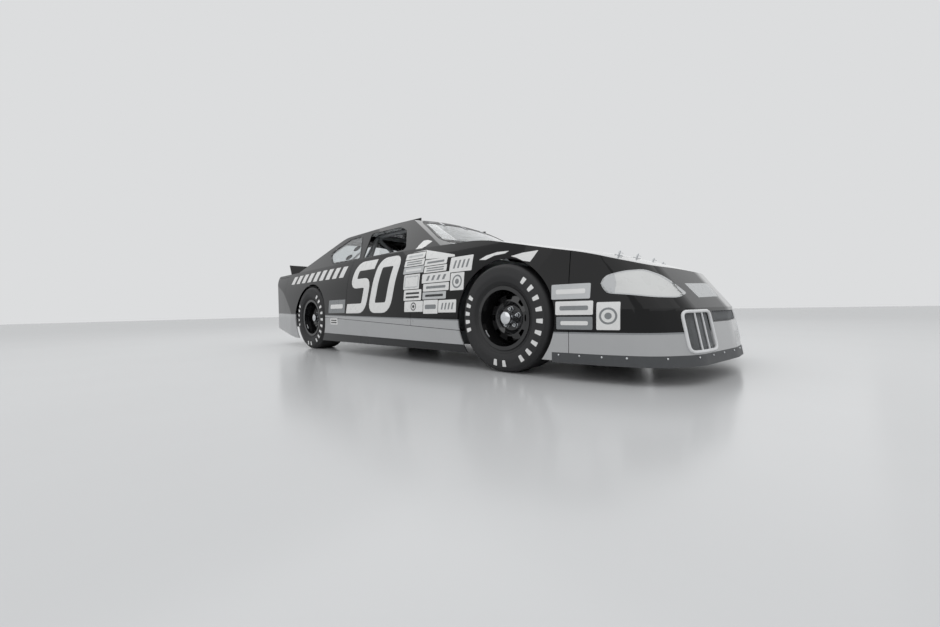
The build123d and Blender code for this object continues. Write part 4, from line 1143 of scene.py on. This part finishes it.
def make_mirror():
    """Wide inside mirror, bent round the driver, on two short arms."""
    mirror = bmesh.new()
    back = MIRROR_HALF * 0.8
    corners = ((0, -MIRROR_HALF), (MIRROR_DEEP, -back), (MIRROR_DEEP, back), (0, MIRROR_HALF))
    rings = []
    for k in range(-6, 7):
        spot = MIRROR_MIDDLE + Vector((0.03 * (k / 6) ** 2, 0.05 * k, 0))
        rings.append([mirror.verts.new(spot + Vector((x, 0, z))) for x, z in corners])
    # every fourth face between the rings is the glass
    for face in bridged(mirror, rings)[3:-2:4]:
        face.material_index = 1
    for y in (-0.12, 0.12):
        tube(mirror, [MIRROR_MIDDLE + Vector((0.012, y, 0.02)), MIRROR_MIDDLE + Vector((0.03, y, 0.085))], 4)
    finished("inside_mirror", mirror, BLACK_PLASTIC, POLISHED_ALUMINIUM, smooth=False)


# Window net: its straps' ends in mm ahead and up, then its place to the left at one height and its lean inwards
NET_STRAPS = [((-1330 - 68 * k, 975 if k else 1005), (-1330 - 68 * k, 1165 + 0.1 * k)) for k in range(9)]
NET_STRAPS += [((-1322, 990 + 44 * k), (-1882, 990 + 44 * k)) for k in range(5)]
NET_LEFT, NET_Z, NET_LEAN, NET_HALF_WIDE, NET_HALF_THICK = 722, 960, 0.36, 12.5, 1.2


def make_window_net():
    """Net of crossed straps in the driver's window."""
    net = bmesh.new()
    outward = Vector((0, 1, NET_LEAN)).normalized()
    for ends in NET_STRAPS:
        one, two = [at(a, NET_LEFT - (z - NET_Z) * NET_LEAN, z) for a, z in ends]
        across = (two - one).normalized().cross(outward).normalized() * NET_HALF_WIDE * MM
        lift = outward * NET_HALF_THICK * MM
        bridged(net, [[net.verts.new(end + across * a + lift * b) for a, b in ((-1, -1), (-1, 1), (1, 1), (1, -1))]
                      for end in (one, two)])
    finished("window_net", net, WEBBING, smooth=False)


# Engine bay ---

BOTTLE_ROWS = [(0, 30), (8, 52), (20, 58), (330, 58), (350, 46), (362, 20), (390, 18), (392, 0)]
CLEANER_ROWS = [(0, 70), (20, 90), (22, 205), (28, 208), (82, 208), (88, 205), (92, 196), (94, 20), (104, 12),
                (104, 0)]
# Valve covers: rear and front end, place to each side, half width, foot, top; the share of their size by height
COVER_REAR, COVER_FRONT, COVER_SIDE, COVER_HALF_WIDE, COVER_FOOT, COVER_TOP = -545, -95, 195, 72, 655, 688
COVER_LEVELS = [(COVER_FOOT * MM, 1.0), (COVER_TOP * MM - 0.012, 0.97), (COVER_TOP * MM, 0.9)]
COVER_BOLT_ROWS = [(-1, 10), (8, 10), (10, 7), (14, 0)]
HOSE = [at(-40, 60, 610), at(120, 80, 625), at(420, 140, 560), at(690, 180, 540)]
# Pulleys on the engine's front: to the left, up, radius
PULLEYS, PULLEYS_AHEAD = [(0, 330, 88), (0, 520, 72), (170, 470, 46)], -30


def rounded_route(points, radius=0.09):
    """A route in space with its inner corners rounded."""
    route = [points[0]]
    for back, here, ahead in zip(points, points[1:], points[2:]):
        start, end = [here + (way - here).normalized() * radius for way in (back, ahead)]
        route += bend(start, here, end, 5)
    return route + [points[-1]]


def make_valve_covers():
    """Two low cast covers with rounded corners and a row of bolts along each."""
    covers = bmesh.new()
    for hand in (-1, 1):
        middle = hand * COVER_SIDE
        for k in range(5):
            turned(covers, COVER_BOLT_ROWS, at(-150 - 90 * k, middle, 661), UP, 12)
        low = at(COVER_REAR, middle - COVER_HALF_WIDE, COVER_FOOT)
        high = at(COVER_FRONT, middle + COVER_HALF_WIDE, COVER_TOP)
        corners = rounded(rectangle(low.x, high.x, low.y, high.y), 0.03)
        mid = (low + high) / 2
        bridged(covers, [[covers.verts.new((mid.x + (x - mid.x) * share, mid.y + (y - mid.y) * share, z))
                          for x, y in corners] for z, share in COVER_LEVELS])
    finished("valve_covers", covers, CAST_IRON)


def dress_engine():
    """Air cleaner, valve covers, radiator hose and belt pulleys on the engine's plain block."""
    turned_piece("air_cleaner", CLEANER_ROWS, [at(-330, 0, 655)], UP, 48, POLISHED_ALUMINIUM)
    make_valve_covers()
    hose = bmesh.new()
    tube(hose, rounded_route(HOSE), 22, 14)
    finished("radiator_pipe", hose, RUBBER_TRIM)
    pulleys = bmesh.new()
    for y, z, radius in PULLEYS:
        rows = [(-5, 20), (12, 20), (12, radius), (20, radius - 8), (28, radius), (34, radius), (34, 18), (40, 0)]
        turned(pulleys, rows, at(PULLEYS_AHEAD, y, z), Vector((1, 0, 0)), 36)
    finished("belt_pulleys", pulleys, BARE_SHEET)


seat_surface = make_seat()
make_belts(seat_surface)
dress_steering_wheel()
dress_dashboard()
make_shift_lever()
make_mirror()
make_window_net()
turned_piece("fire_bottle", BOTTLE_ROWS, [at(-1900, -260, 318)], Vector((0, 1, 0)), 32, RED_VINYL)
dress_engine()
